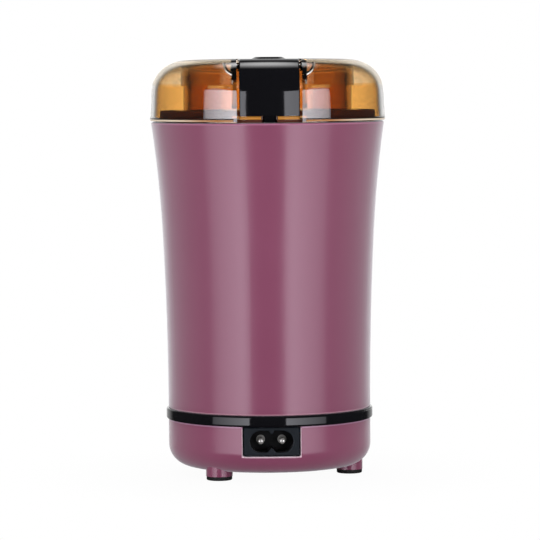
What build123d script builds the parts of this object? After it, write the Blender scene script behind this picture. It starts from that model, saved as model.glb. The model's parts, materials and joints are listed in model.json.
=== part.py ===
from build123d import *
import os
from math import asin, cos, degrees, dist, pi, radians, sin, tan

# An electric blade coffee grinder. The axis is Z, the table is at zero height, and the side
# with the press key and the mains inlet faces -Y. Every length is in millimetres.

os.makedirs("parts", exist_ok=True)

# Clearances
overrun = 6.0  # every cut runs past what it cuts by this much
slip = 0.2  # between pieces that slip together and then stay
running = 0.4  # between pieces that move past each other
touch = 0.3  # at rest, between a moving piece and its seat
bush_gap = 0.04  # round the shaft and round the hinge pin
press_gap = 0.02  # round a pressed-on piece

# Feet and base cup
foot_count = 3
foot_turn = -129.4  # angle of the first foot about Z, in degrees
foot_circle = 33.0
foot_radius = 5.4
foot_height = 3.5  # floor of the base above the table
pad_height = 1.6
pad_radius = 5.2
body_radius = 41.5  # base cup, and body where it stands on the trim ring
base_height = 19.3
base_corner = 9.0
base_wall = 2.2
base_post_radius = 3.6
base_post_top_gap = 3.2  # top of the base posts above the top of the base wall
vent_count = 12
vent_circle = 17.0
vent_length = 9.0
vent_width = 2.0
base_screw_radius = 1.5
base_screw_head_radius = 2.7
base_screw_head_height = 1.8
base_screw_grip = 10.0  # thread in the carrier post

# Trim ring
ring_height = 4.5
ring_proud = 1.0
ring_round = 0.9
ring_sleeve_wall = 1.6
ring_sleeve_reach = 3.4  # above and below the band that shows

# Body shell
body_height = 117.1
body_wall = 2.2
body_lower_bend = 1400.0
body_upper_bend = 500.0
body_join_share = 0.612  # where the two bends meet, of the body's height
body_top_round = 0.8
body_foot_round = 0.5
ledge_width = 3.0
ledge_height = 2.4

# Lid dome
lid_gap = 0.4  # shadow gap between body and lid
lid_height = 25.2
lid_radius = 48.5
lid_wall = 2.0
lid_draft = 0.5  # radius that the wall loses up to the shoulder
lid_bend = 14.0
rim_height = 1.5
rim_inset = 0.5
spigot_reach = 1.0
spigot_wall = 0.7
collar_wall = 2.2
collar_reach = 2.5  # below the top of the neck
collar_step = 0.9  # wider above the step
channel_depth = 9.0
channel_floor = 1.8
channel_wall = 1.8
pocket_rise = 5.2  # pocket walls start this high over the lid's bottom
shelf_drop = 3.0  # shelf ribs below the channel's floor
shelf_height = 1.4
shelf_width = 11.0
bar_rise = 0.8
bar_height = 1.5
bar_wall = 0.8
bar_break = 5.4
bar_round = 0.35

# Press key, hinge pin and key spring
key_width = 24.0
key_side_gap = 1.0
key_sink = 0.15  # below the surface of the dome
key_wall = 1.9
key_edge = 0.6
skirt_rise = 2.4  # bottom of the skirt over the lid's bottom
hinge_set_back = 16.0  # hinge axis behind the grinder's axis
hinge_drop = 1.2  # hinge axis below the key's plate
hinge_pin_radius = 1.0
hinge_pin_seat = 1.4
barrel_radius = 2.0
key_tail = 2.2
hump_width = 10.8
hump_length = 15.0
hump_slope = 1.6
hump_height = 0.7
hump_place = 25.0
hump_round = 3.0
key_rib_height = 2.2
key_rib_wall = 1.4
key_rib_place = 7.5
tongue_width = 4.4
tongue_depth = 3.6
tongue_reach = 1.2  # tip of the tongue below the lid's bottom
tongue_heel = 45.0  # front edge of the tongue, from the axis
key_spring_place = 19.0
key_spring_radius = 2.7
key_spring_wire = 0.6
key_spring_turns = 4
key_spring_peg_height = 1.6

# Bowl and its carrier
flange_height = 2.0
neck_height = 7.5  # neck over the flange's seat
neck_wall = 1.8
deck_height = 1.8
bowl_mouth_radius = 35.4
bowl_floor_radius = 27.9
bowl_depth = 42.9
bowl_corner = 10.0
bowl_wall = 0.7
bowl_lip = 1.8
bowl_hole_radius = 6.0
carrier_wall = 1.8
carrier_floor = 3.0
carrier_hole_radius = 8.0
carrier_post_rise = 19.0  # top of the posts over the carrier's floor
seal_height = 1.6
seal_flange = 1.8
seal_gap = 0.3

# Push rod, its spring, and the switch
rod_place = 40.6
rod_radius = 1.5
rod_head_radius = 2.4
rod_head_height = 2.0
rod_shelf_drop = 10.0  # shelf below the rod's head
rod_shelf_height = 2.0
rod_foot_drop = 1.1  # top of the rod's foot below the shelf
rod_foot_height = 2.0
rod_foot_width = 3.2
rod_slot_width = 6.2
rod_cheek_wall = 1.4
rod_spring_radius = 2.05
rod_spring_wire = 0.4
rod_spring_turns = 6
switch_width = 20.0
switch_depth = 6.0
switch_height = 10.0
switch_round = 0.5
switch_stand_off = 0.7
plunger_radius = 1.1
plunger_height = 2.4
plunger_depth = 3.4
switch_screw_pitch = 9.6
switch_screw_rise = 2.8
switch_screw_radius = 1.0
switch_screw_head_radius = 1.8
switch_screw_head_height = 0.9
switch_screw_grip = 1.6
switch_boss_radius = 2.2
terminal_pitch = 12.0
terminal_width = 2.8
terminal_wall = 0.8
terminal_length = 4.0
terminal_seat = 1.0

# Motor
damper_height = 2.5
damper_radius = 21.0
damper_hole_radius = 10.5
bracket_radius = 28.8
upper_plate = 2.4
upper_hub_drop = 3.0
hub_radius = 9.0
bracket_window_radius = 4.2
bracket_window_circle = 14.5
bracket_screw_circle = 17.0
bracket_screw_radius = 1.3
bracket_screw_head_radius = 2.4
bracket_screw_head_height = 1.4
column_radius = 2.8
column_place = 25.4
motor_rise = 4.8  # lower bracket over the top of the trim ring
upper_column_share = 0.244  # of the room between the brackets
stator_share = 0.418
lower_plate = 3.0
lower_hub_rise = 3.0
lower_hub_drop = 3.0
lower_hub_floor = 1.0
bush_radius = 6.0
bolt_radius = 1.4
bolt_head_radius = 2.6
bolt_head_height = 1.6
bolt_tip_gap = 4.0
stator_radius = 28.4
stator_bore = 17.2
pole_tip = 2.6  # thickness of the pole shoes behind the bore
pole_half_width = 7.6
coil_window_depth = 5.4
coil_window_width = 5.2
coil_gap = 0.25
coil_end_share = 0.17  # of the stator's height
shaft_radius = 3.0
shaft_end_gap = 0.4
rotor_gap = 0.6
rotor_slot_count = 12
rotor_slot_width = 2.4
rotor_slot_depth = 6.0
rotor_hub_radius = 6.0
winding_inner_share = 0.42  # of the rotor's radius
winding_outer_share = 0.86
winding_share = 0.17  # of the stator's height
winding_round = 1.4
winding_gap = 0.3
commutator_radius = 9.0
commutator_gap = 1.0
commutator_bar_count = 12
commutator_slit = 0.6
commutator_slit_depth = 1.0
fan_radius = 22.0
fan_gap = 1.0
fan_disc_share = 0.22  # of the fan's height
fan_hub_radius = 6.5
fan_blade_count = 9
fan_blade_wall = 1.2
fan_blade_lean = 24.0  # degrees from the radius
brush_width = 5.0
brush_share = 0.55  # of the commutator's height
brush_length = 10.0
brush_gap = 0.3
holder_wall = 0.8
holder_length = 13.0
holder_stand_off = 1.2  # end of the holder from the commutator
brush_spring_wall = 0.4
brush_spring_reach = 3.4

# Blade
blade_hub_radius = 5.4
blade_hub_height = 2.6
blade_hub_gap = 0.7
blade_span = 24.5
blade_width = 11.0
blade_tip_width = 6.0
blade_wall = 1.6
blade_flat = 9.0  # half length of the flat middle
blade_lift = 2.8  # of the tips
nut_across = 9.0
nut_height = 3.4
shaft_tip = 0.6  # shaft over the nut

# Mains inlet
inlet_width = 22.4
inlet_height = 11.4
inlet_gap = 0.4
window_corner = 0.8
window_edge = 0.5
inlet_face = 40.2  # from the axis to the flat face
inlet_depth = 14.0
inlet_round = 0.7
inlet_ear = 1.6
inlet_ear_depth = 1.8
recess_radius = 4.4
recess_throat = 4.9  # clear height between the two notches
upper_notch_width = 2.2
lower_notch_width = 3.6
recess_depth = 10.0
recess_round = 0.5
recess_edge = 0.3
pin_pitch = 8.6
pin_radius = 1.2
pin_dome_share = 0.8  # of the pin's radius, rounded at its tip
pin_set_back = 1.6
pin_tail = 2.0
pin_collar_radius = 1.8
pin_collar_height = 0.5

# Leads: between its ends each passes points given as shares of the body's radius across and
# along, and of the way up from the lower end
lead_radius = 0.9
lead_end_gap = 0.5
lead_bend_share = 0.45  # of the shorter run at a corner
live_shares = [(-0.104, -0.458, 0.0), (-0.217, -0.337, 0.011), (-0.482, -0.193, 0.043)]
live_shares += [(-0.723, -0.024, 0.096), (-0.814, 0.072, 0.203), (-0.814, 0.072, 0.48)]
live_shares += [(-0.829, 0.024, 0.715), (-0.872, -0.217, 0.854), (-0.759, -0.53, 0.918)]
live_shares += [(-0.506, -0.776, 0.934), (-0.301, -0.882, 0.918), (-0.181, -0.916, 0.934)]
neutral_shares = [(0.104, -0.458, 0.0), (0.241, -0.349, 0.04), (0.506, -0.349, 0.15)]
neutral_shares += [(0.699, -0.398, 0.353), (0.733, -0.361, 0.7), (0.675, -0.217, 0.92)]
neutral_shares += [(0.641, -0.048, 1.0)]
motor_shares = [(0.537, -0.405, 0.0), (0.446, -0.554, 0.02), (0.337, -0.723, 0.16)]
motor_shares += [(0.229, -0.853, 0.445), (0.154, -0.911, 0.749)]

# Heights that follow, from the table up
base_top_z = foot_height + base_height
ring_top_z = base_top_z + ring_height
body_top_z = ring_top_z + body_height
lid_bottom_z = body_top_z + lid_gap
rim_top_z = lid_bottom_z + rim_height
lid_top_z = lid_bottom_z + lid_height
shoulder_z = lid_top_z - lid_bend
crown_radius = lid_radius - lid_draft - lid_bend
spigot_bottom_z = lid_bottom_z - spigot_reach
flange_top_z = spigot_bottom_z - touch
flange_z = flange_top_z - flange_height
neck_top_z = flange_z + neck_height
bowl_floor_z = neck_top_z - bowl_depth
carrier_inner_floor_z = bowl_floor_z - bowl_wall - slip
carrier_floor_z = carrier_inner_floor_z - carrier_floor
post_bottom_z = base_top_z + base_post_top_gap
foot_places = [
    (foot_circle * cos(radians(foot_turn + k * 360 / foot_count)),
     foot_circle * sin(radians(foot_turn + k * 360 / foot_count)))
    for k in range(foot_count)
]

# The body's outline: two bends, the lower one upright where it stands on the ring
body_join = body_height * body_join_share
lower_lean = asin(body_join / body_lower_bend)
upper_lean = asin(sin(lower_lean) + (body_height - body_join) / body_upper_bend)


def body_radius_at(z):
    """Outer radius of the body at a height."""
    climb = z - ring_top_z
    lean = asin(min(climb, body_join) / body_lower_bend)
    radius = body_radius + body_lower_bend * (1 - cos(lean))
    if climb > body_join:
        lean = asin(sin(lower_lean) + (climb - body_join) / body_upper_bend)
        radius = radius + body_upper_bend * (cos(lower_lean) - cos(lean))
    return radius


def bowl_radius_at(z):
    """Inner radius of the bowl's tapered wall at a height."""
    rise_share = (z - bowl_floor_z) / bowl_depth
    return bowl_floor_radius + (bowl_mouth_radius - bowl_floor_radius) * rise_share


def cup_section(skin, floor_z):
    """Half section of the bowl's inside grown by a skin, down to a floor."""
    with BuildSketch() as section:
        with BuildLine():
            Polyline(
                (0, floor_z),
                (bowl_floor_radius + skin, floor_z),
                (bowl_mouth_radius + skin, neck_top_z),
                (0, neck_top_z),
                close=True,
            )
        make_face()
        corner = section.vertices().group_by(Axis.Y)[0].sort_by(Axis.X)[-1]
        fillet(corner, bowl_corner + skin)
    return section.sketch


def dome_section(inset, bottom_z):
    """Half section of the lid's dome, filled, with its surface moved in by an inset."""
    with BuildSketch() as section:
        with BuildLine():
            bend = CenterArc((crown_radius, shoulder_z), lid_bend - inset, 0, 90)
            Polyline(
                bend @ 1,
                (0, lid_top_z - inset),
                (0, bottom_z),
                (lid_radius - inset, bottom_z),
                bend @ 0,
            )
        make_face()
    return section.sketch


def coil(start_z, height, radius, wire, turns):
    """Quarter turns of a rising coil about the Z axis, each drawn as two tangent arcs."""
    pitch = (height - wire) / turns
    climb = pitch / (2 * pi)
    step = pi / 2
    count = round(4 * turns)
    spots = []
    for k in range(count + 1):
        turn = k * step
        place = Vector(radius * cos(turn), radius * sin(turn), start_z + wire / 2 + climb * turn)
        course = Vector(-radius * sin(turn), radius * cos(turn), climb).normalized()
        spots.append((place, course))
    for (place, course), (next_place, next_course) in zip(spots, spots[1:]):
        gap = next_place - place
        both = course + next_course
        bend = 4 - both.dot(both)
        along = gap.dot(both)
        reach = ((along * along + bend * gap.dot(gap)) ** 0.5 - along) / bend
        corner = place + course * reach
        next_corner = next_place - next_course * reach
        middle = (corner + next_corner) * 0.5
        TangentArc(place, middle, tangent=course)
        TangentArc(middle, next_place, tangent=next_corner - corner)


def print_coil_gap(name, path, wire, turns):
    """Print the least gap between the turns of a coil, measured on points along its path."""
    points_per_turn = 24
    count = points_per_turn * round(turns)
    points = [tuple(path @ (k / count)) for k in range(count + 1)]
    far = points_per_turn // 2
    least = min(dist(a, b) for i, a in enumerate(points) for b in points[i + far:])
    print(name, "least gap between turns", round(least - wire, 2))


def from_axis(edge):
    """Distance of an edge's middle from the grinder's axis."""
    return dist((edge.center().X, edge.center().Y), (0, 0))


def save(piece, name):
    """Label a finished piece and write it."""
    piece.part.label = name
    export_step(piece.part, f"parts/{name}.step")


# Base cup: a shelled cup with the inlet's window, three foot stubs on hollow posts, and vents
head_pocket_radius = base_screw_head_radius + slip
head_seat_z = foot_height + base_wall
inlet_bottom_z = base_top_z - slip - inlet_height
inlet_middle_z = inlet_bottom_z + inlet_height / 2

with BuildPart() as base_cup:
    with BuildSketch(Plane.XY.offset(foot_height)):
        Circle(body_radius)
    extrude(amount=base_height)
    fillet(base_cup.edges().group_by(Axis.Z)[0], base_corner)
    offset(amount=-base_wall, openings=base_cup.faces().sort_by(Axis.Z)[-1])
    with BuildSketch(Plane.XY.offset(pad_height)):
        with Locations(*foot_places):
            Circle(foot_radius)
    extrude(amount=head_seat_z + base_wall - pad_height)
    with BuildSketch(Plane.XY.offset(foot_height)):
        with Locations(*foot_places):
            Circle(base_post_radius)
    extrude(amount=post_bottom_z - foot_height)
    with BuildSketch(Plane.XY.offset(pad_height)):
        with Locations(*foot_places):
            Circle(head_pocket_radius)
    extrude(amount=head_seat_z - pad_height, mode=Mode.SUBTRACT)
    with BuildSketch(Plane.XY.offset(pad_height)):
        with Locations(*foot_places):
            Circle(base_screw_radius + slip)
    extrude(amount=post_bottom_z, mode=Mode.SUBTRACT)
    with BuildSketch(Plane.XY.offset(foot_height - overrun)):
        with PolarLocations(vent_circle, vent_count):
            SlotOverall(vent_length, vent_width)
    extrude(amount=base_wall + 2 * overrun, mode=Mode.SUBTRACT)
    with BuildSketch(Plane.XZ.offset(body_radius - inlet_depth)) as window:
        with Locations((0, inlet_bottom_z - inlet_gap)):
            Rectangle(inlet_width + 2 * inlet_gap, base_height, align=(Align.CENTER, Align.MIN))
        fillet(window.vertices().group_by(Axis.Z)[0], window_corner)
    extrude(amount=inlet_depth + overrun, mode=Mode.SUBTRACT)
    front_edges = base_cup.edges().filter_by_position(Axis.Y, -body_radius, -body_radius / 2)
    near_edges = front_edges.filter_by(lambda e: abs(e.center().X) < inlet_width)
    outer_edges = near_edges.filter_by(lambda e: from_axis(e) > body_radius - base_wall / 2)
    fillet(outer_edges, window_edge)
save(base_cup, "base_cup")

# Rubber foot pads, each plugged into a foot stub over the screw's head
for number, place in enumerate(foot_places, 1):
    with BuildPart() as rubber_foot:
        with BuildSketch(Plane.XY):
            with Locations(place):
                Circle(pad_radius)
        extrude(amount=pad_height)
        fillet(rubber_foot.edges().group_by(Axis.Z)[0], pad_height / 3)
        with BuildSketch(Plane.XY.offset(pad_height)):
            with Locations(place):
                Circle(head_pocket_radius - slip)
        extrude(amount=head_seat_z - base_screw_head_height - slip - pad_height)
    save(rubber_foot, f"rubber_foot_{number}")

# Base screws, up through the feet into the carrier's posts
with BuildPart() as base_screws:
    with BuildSketch(Plane.XY.offset(head_seat_z - base_screw_head_height)):
        with Locations(*foot_places):
            Circle(base_screw_head_radius)
    extrude(amount=base_screw_head_height)
    with BuildSketch(Plane.XY.offset(head_seat_z)):
        with Locations(*foot_places):
            Circle(base_screw_radius)
    extrude(amount=post_bottom_z + base_screw_grip - head_seat_z)
save(base_screws, "base_screws")

# Trim ring: a rounded band with a sleeve inside that lines up base and body
sleeve_radius = body_radius - max(base_wall, body_wall) - slip

with BuildPart() as trim_ring:
    with BuildSketch(Plane.XY.offset(base_top_z)):
        Circle(body_radius + ring_proud)
    extrude(amount=ring_height)
    fillet(trim_ring.edges(), ring_round)
    with BuildSketch(Plane.XY.offset(base_top_z - ring_sleeve_reach)):
        Circle(sleeve_radius)
    extrude(amount=ring_height + 2 * ring_sleeve_reach)
    with BuildSketch(Plane.XY.offset(base_top_z - ring_sleeve_reach - overrun)):
        Circle(sleeve_radius - ring_sleeve_wall)
    extrude(amount=ring_height + 2 * (ring_sleeve_reach + overrun), mode=Mode.SUBTRACT)
    with BuildSketch(Plane.XZ.offset(inlet_face - inlet_depth)):
        with Locations((0, base_top_z)):
            inlet_pass = inlet_width + 2 * (inlet_ear + inlet_gap)
            Rectangle(inlet_pass, 2 * ring_sleeve_reach, align=(Align.CENTER, Align.MAX))
    extrude(amount=inlet_depth + overrun, mode=Mode.SUBTRACT)
save(trim_ring, "trim_ring")

# Mains inlet: a moulded block with a figure-8 recess, held behind the base wall by two ears
with BuildPart() as inlet_socket:
    with BuildSketch(Plane.XZ.offset(inlet_face - inlet_depth)):
        with Locations((0, inlet_middle_z)):
            RectangleRounded(inlet_width, inlet_height, inlet_round)
    extrude(amount=inlet_depth)
    chamfer(inlet_socket.faces().sort_by(Axis.Y)[0].edges(), inlet_round / 2)
    ear_front = body_radius - 2 * base_wall
    with BuildSketch(Plane.XZ.offset(ear_front - inlet_ear_depth)):
        with Locations((0, inlet_middle_z)):
            Rectangle(inlet_width + 2 * inlet_ear, inlet_height / 2)
    extrude(amount=inlet_ear_depth)
    with BuildSketch(Plane.XZ.offset(inlet_face - recess_depth)) as recess:
        with Locations((0, inlet_middle_z)):
            SlotCenterToCenter(pin_pitch, 2 * recess_radius)
        for way, notch_width in ((1, upper_notch_width), (-1, lower_notch_width)):
            mouth_z = inlet_middle_z + way * recess_radius
            tip_z = inlet_middle_z + way * recess_throat / 2
            with BuildLine():
                Polyline((-notch_width / 2, mouth_z), (0, tip_z), (notch_width / 2, mouth_z), close=True)
            make_face(mode=Mode.SUBTRACT)
        notch_reach = max(upper_notch_width, lower_notch_width)
        fillet(recess.vertices().filter_by_position(Axis.X, -notch_reach, notch_reach), recess_round)
    extrude(amount=recess_depth + overrun, mode=Mode.SUBTRACT)
    fillet(inlet_socket.faces().sort_by(Axis.Y)[0].inner_wires()[0].edges(), recess_edge)
    with BuildSketch(Plane.XZ.offset(inlet_face - inlet_depth)):
        with Locations((0, inlet_middle_z)):
            with GridLocations(pin_pitch, 0, 2, 1):
                Circle(pin_radius + press_gap)
    extrude(amount=inlet_depth, mode=Mode.SUBTRACT)
save(inlet_socket, "inlet_socket")

for side, name in ((-1, "inlet_pin_left"), (1, "inlet_pin_right")):
    with BuildPart() as inlet_pin:
        with BuildSketch(Plane.XZ.offset(inlet_face - inlet_depth - pin_tail)):
            with Locations((side * pin_pitch / 2, inlet_middle_z)):
                Circle(pin_radius)
        extrude(amount=inlet_depth + pin_tail - pin_set_back)
        fillet(inlet_pin.edges().group_by(Axis.Y)[0], pin_radius * pin_dome_share)
        with BuildSketch(Plane.XZ.offset(inlet_face - recess_depth + press_gap)):
            with Locations((side * pin_pitch / 2, inlet_middle_z)):
                Circle(pin_collar_radius)
        extrude(amount=pin_collar_height)
    save(inlet_pin, name)

# Body shell: the flared sleeve, with the ledge that the carrier hangs on
rod_bay = rod_slot_width + 2 * (rod_cheek_wall + running)

with BuildPart() as body_shell:
    with BuildSketch(Plane.XZ):
        for skin in (0, body_wall):
            with BuildLine():
                foot = (body_radius - skin, ring_top_z)
                lower = JernArc(foot, (0, 1), body_lower_bend, -degrees(lower_lean))
                rest = -degrees(upper_lean - lower_lean)
                upper = JernArc(lower @ 1, lower % 1, body_upper_bend, rest)
                Polyline(upper @ 1, (0, body_top_z), (0, ring_top_z), foot)
            make_face(mode=Mode.SUBTRACT if skin else Mode.ADD)
    revolve(axis=Axis.Z)
    top_edges = body_shell.edges().group_by(Axis.Z)[-1].sort_by(SortBy.LENGTH)
    fillet(top_edges[-1], body_top_round)
    foot_edges = body_shell.edges().group_by(Axis.Z)[0].sort_by(SortBy.LENGTH)
    fillet(foot_edges[-1], body_foot_round)
    ledge_z = flange_z - ledge_height
    ledge_radius = body_radius_at(flange_z) - body_wall - ledge_width
    with BuildSketch(Plane.XY.offset(ledge_z)):
        Circle(body_radius_at(ledge_z) - body_wall / 2)
        Circle(ledge_radius, mode=Mode.SUBTRACT)
        with Locations((0, -ledge_radius)):
            Rectangle(rod_bay, 2 * ledge_width - body_wall, mode=Mode.SUBTRACT)
    extrude(amount=ledge_height)
save(body_shell, "body_shell")

# Bowl carrier: neck, deck and tapered cup in one moulding, with the rod's guide, the switch's
# bosses, and three posts that reach down to the base
flange_radius = body_radius_at(flange_z) - body_wall - slip
spigot_radius = body_radius_at(body_top_z) - body_wall - running
neck_radius = spigot_radius - spigot_wall - running
carrier_skin = bowl_wall + slip + carrier_wall


def carrier_radius_at(z):
    """Outer radius of the carrier's tapered cup at a height."""
    return bowl_radius_at(z) + carrier_skin


tongue_tip_z = lid_bottom_z - tongue_reach
rod_top_z = tongue_tip_z - touch
rod_head_z = rod_top_z - rod_head_height
rod_shelf_z = rod_head_z - rod_shelf_drop
rod_foot_z = rod_shelf_z - rod_shelf_height - rod_foot_drop
switch_top_z = rod_foot_z - rod_foot_height - plunger_height
switch_z = switch_top_z - switch_height
switch_inner = carrier_radius_at(switch_top_z) + switch_stand_off
switch_middle = switch_inner + switch_depth / 2
rod_slot_inner = rod_place - rod_head_radius - running
shelf_reach = rod_place + rod_head_radius
switch_screw_z = switch_z + switch_screw_rise

with BuildPart() as bowl_carrier:
    with BuildSketch(Plane.XZ):
        add(cup_section(carrier_skin, carrier_floor_z))
    revolve(axis=Axis.Z)
    with BuildSketch(Plane.XY.offset(flange_z)):
        Circle(flange_radius)
        Circle(neck_radius - neck_wall, mode=Mode.SUBTRACT)
    extrude(amount=flange_height)
    with BuildSketch(Plane.XY.offset(flange_z)):
        Circle(neck_radius)
        Circle(neck_radius - neck_wall, mode=Mode.SUBTRACT)
    extrude(amount=neck_height)
    with BuildSketch(Plane.XY.offset(neck_top_z - deck_height)):
        Circle(neck_radius)
    extrude(amount=deck_height)
    fillet(bowl_carrier.faces().sort_by(Axis.Z)[-1].edges(), deck_height / 3)
    with BuildSketch(Plane.XY.offset(rod_shelf_z - rod_shelf_height)):
        Rectangle(rod_slot_width + 2 * rod_cheek_wall, shelf_reach, align=(Align.CENTER, Align.MAX))
    extrude(amount=neck_top_z - deck_height / 2 - rod_shelf_z + rod_shelf_height)
    with BuildSketch(Plane.XY.offset(rod_shelf_z)):
        with Locations((0, -rod_slot_inner)):
            Rectangle(rod_slot_width, body_radius, align=(Align.CENTER, Align.MAX))
    extrude(amount=body_height, mode=Mode.SUBTRACT)
    with BuildSketch(Plane.XY.offset(rod_shelf_z - rod_shelf_height - overrun)):
        with Locations((0, -rod_place)):
            Circle(rod_radius + slip)
    extrude(amount=rod_shelf_height + 2 * overrun, mode=Mode.SUBTRACT)
    with BuildSketch(Plane.XZ.offset(carrier_radius_at(switch_z) - 2 * carrier_wall)):
        with Locations((0, switch_screw_z)):
            with GridLocations(switch_screw_pitch, 0, 2, 1):
                Circle(switch_boss_radius)
    extrude(amount=switch_inner - carrier_radius_at(switch_z) + 2 * carrier_wall)
    with BuildSketch(Plane.XY.offset(post_bottom_z)):
        with Locations(*foot_places):
            Circle(base_post_radius)
    extrude(amount=carrier_floor_z + carrier_post_rise - post_bottom_z)
    with BuildSketch(Plane.XZ):
        add(cup_section(bowl_wall + slip, carrier_inner_floor_z))
    revolve(axis=Axis.Z, mode=Mode.SUBTRACT)
    with BuildSketch(Plane.XY.offset(neck_top_z - bowl_wall)):
        Circle(bowl_mouth_radius + bowl_wall + bowl_lip + slip)
    extrude(amount=bowl_wall + overrun, mode=Mode.SUBTRACT)
    with BuildSketch(Plane.XZ.offset(switch_inner - switch_screw_grip - slip)):
        with Locations((0, switch_screw_z)):
            with GridLocations(switch_screw_pitch, 0, 2, 1):
                Circle(switch_screw_radius + press_gap)
    extrude(amount=switch_screw_grip + overrun, mode=Mode.SUBTRACT)
    with BuildSketch(Plane.XY.offset(post_bottom_z)):
        with Locations(*foot_places):
            Circle(base_screw_radius + press_gap)
    extrude(amount=base_screw_grip + slip, mode=Mode.SUBTRACT)
    with BuildSketch(Plane.XY.offset(carrier_floor_z - overrun)):
        Circle(carrier_hole_radius)
        with PolarLocations(bracket_screw_circle, foot_count, start_angle=foot_turn):
            Circle(bracket_screw_radius + slip)
    extrude(amount=carrier_floor + 2 * overrun, mode=Mode.SUBTRACT)
    with BuildSketch(Plane.XY.offset(carrier_inner_floor_z - bracket_screw_head_height)):
        with PolarLocations(bracket_screw_circle, foot_count, start_angle=foot_turn):
            Circle(bracket_screw_head_radius + slip)
    extrude(amount=bracket_screw_head_height + overrun, mode=Mode.SUBTRACT)
save(bowl_carrier, "bowl_carrier")

# Grinding bowl: a drawn steel cup whose lip rests in the carrier's deck
with BuildPart() as grinding_bowl:
    with BuildSketch(Plane.XZ):
        add(cup_section(bowl_wall, bowl_floor_z - bowl_wall))
    revolve(axis=Axis.Z)
    with BuildSketch(Plane.XY.offset(neck_top_z - bowl_wall)):
        Circle(bowl_mouth_radius + bowl_wall + bowl_lip)
    extrude(amount=bowl_wall)
    with BuildSketch(Plane.XZ):
        add(cup_section(0, bowl_floor_z))
    revolve(axis=Axis.Z, mode=Mode.SUBTRACT)
    with BuildSketch(Plane.XY.offset(bowl_floor_z - bowl_wall - overrun)):
        Circle(bowl_hole_radius)
    extrude(amount=bowl_wall + 2 * overrun, mode=Mode.SUBTRACT)
save(grinding_bowl, "grinding_bowl")

# Shaft seal, buttoned through the bowl's hole
with BuildPart() as shaft_seal:
    with BuildSketch(Plane.XY.offset(bowl_floor_z)):
        Circle(bowl_hole_radius + seal_flange)
    extrude(amount=seal_height)
    fillet(shaft_seal.edges().group_by(Axis.Z)[-1], seal_height / 3)
    with BuildSketch(Plane.XY.offset(carrier_inner_floor_z - carrier_floor / 2)):
        Circle(bowl_hole_radius - press_gap)
    extrude(amount=bowl_floor_z - carrier_inner_floor_z + carrier_floor / 2)
    with BuildSketch(Plane.XY.offset(carrier_floor_z)):
        Circle(shaft_radius + seal_gap)
    extrude(amount=bowl_depth, mode=Mode.SUBTRACT)
save(shaft_seal, "shaft_seal")

# Lid dome: what stands inside is trimmed to the dome, then the shell goes on, then the key's
# channel is cut, and last come the two bars under the key
collar_bottom_z = neck_top_z - collar_reach
collar_radius = bowl_radius_at(collar_bottom_z) - running
channel_floor_z = lid_top_z - channel_depth
channel_half = key_width / 2 + key_side_gap
channel_outer = channel_half + channel_wall
channel_end = hinge_set_back + key_tail + key_side_gap
pocket_z = lid_bottom_z + pocket_rise
shelf_z = channel_floor_z - shelf_drop
bar_radius = spigot_radius - spigot_wall + bar_wall
key_under_z = lid_top_z - key_sink - key_wall
hinge_z = key_under_z - hinge_drop
hinge_plane = Plane(origin=(0, hinge_set_back, hinge_z), x_dir=(0, 1, 0), z_dir=(1, 0, 0))
spring_peg_radius = key_spring_radius - key_spring_wire
lid_filling = dome_section(lid_wall / 2, collar_bottom_z)
lid_outside = dome_section(0, rim_top_z)
lid_inside = dome_section(lid_wall, rim_top_z)

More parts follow.
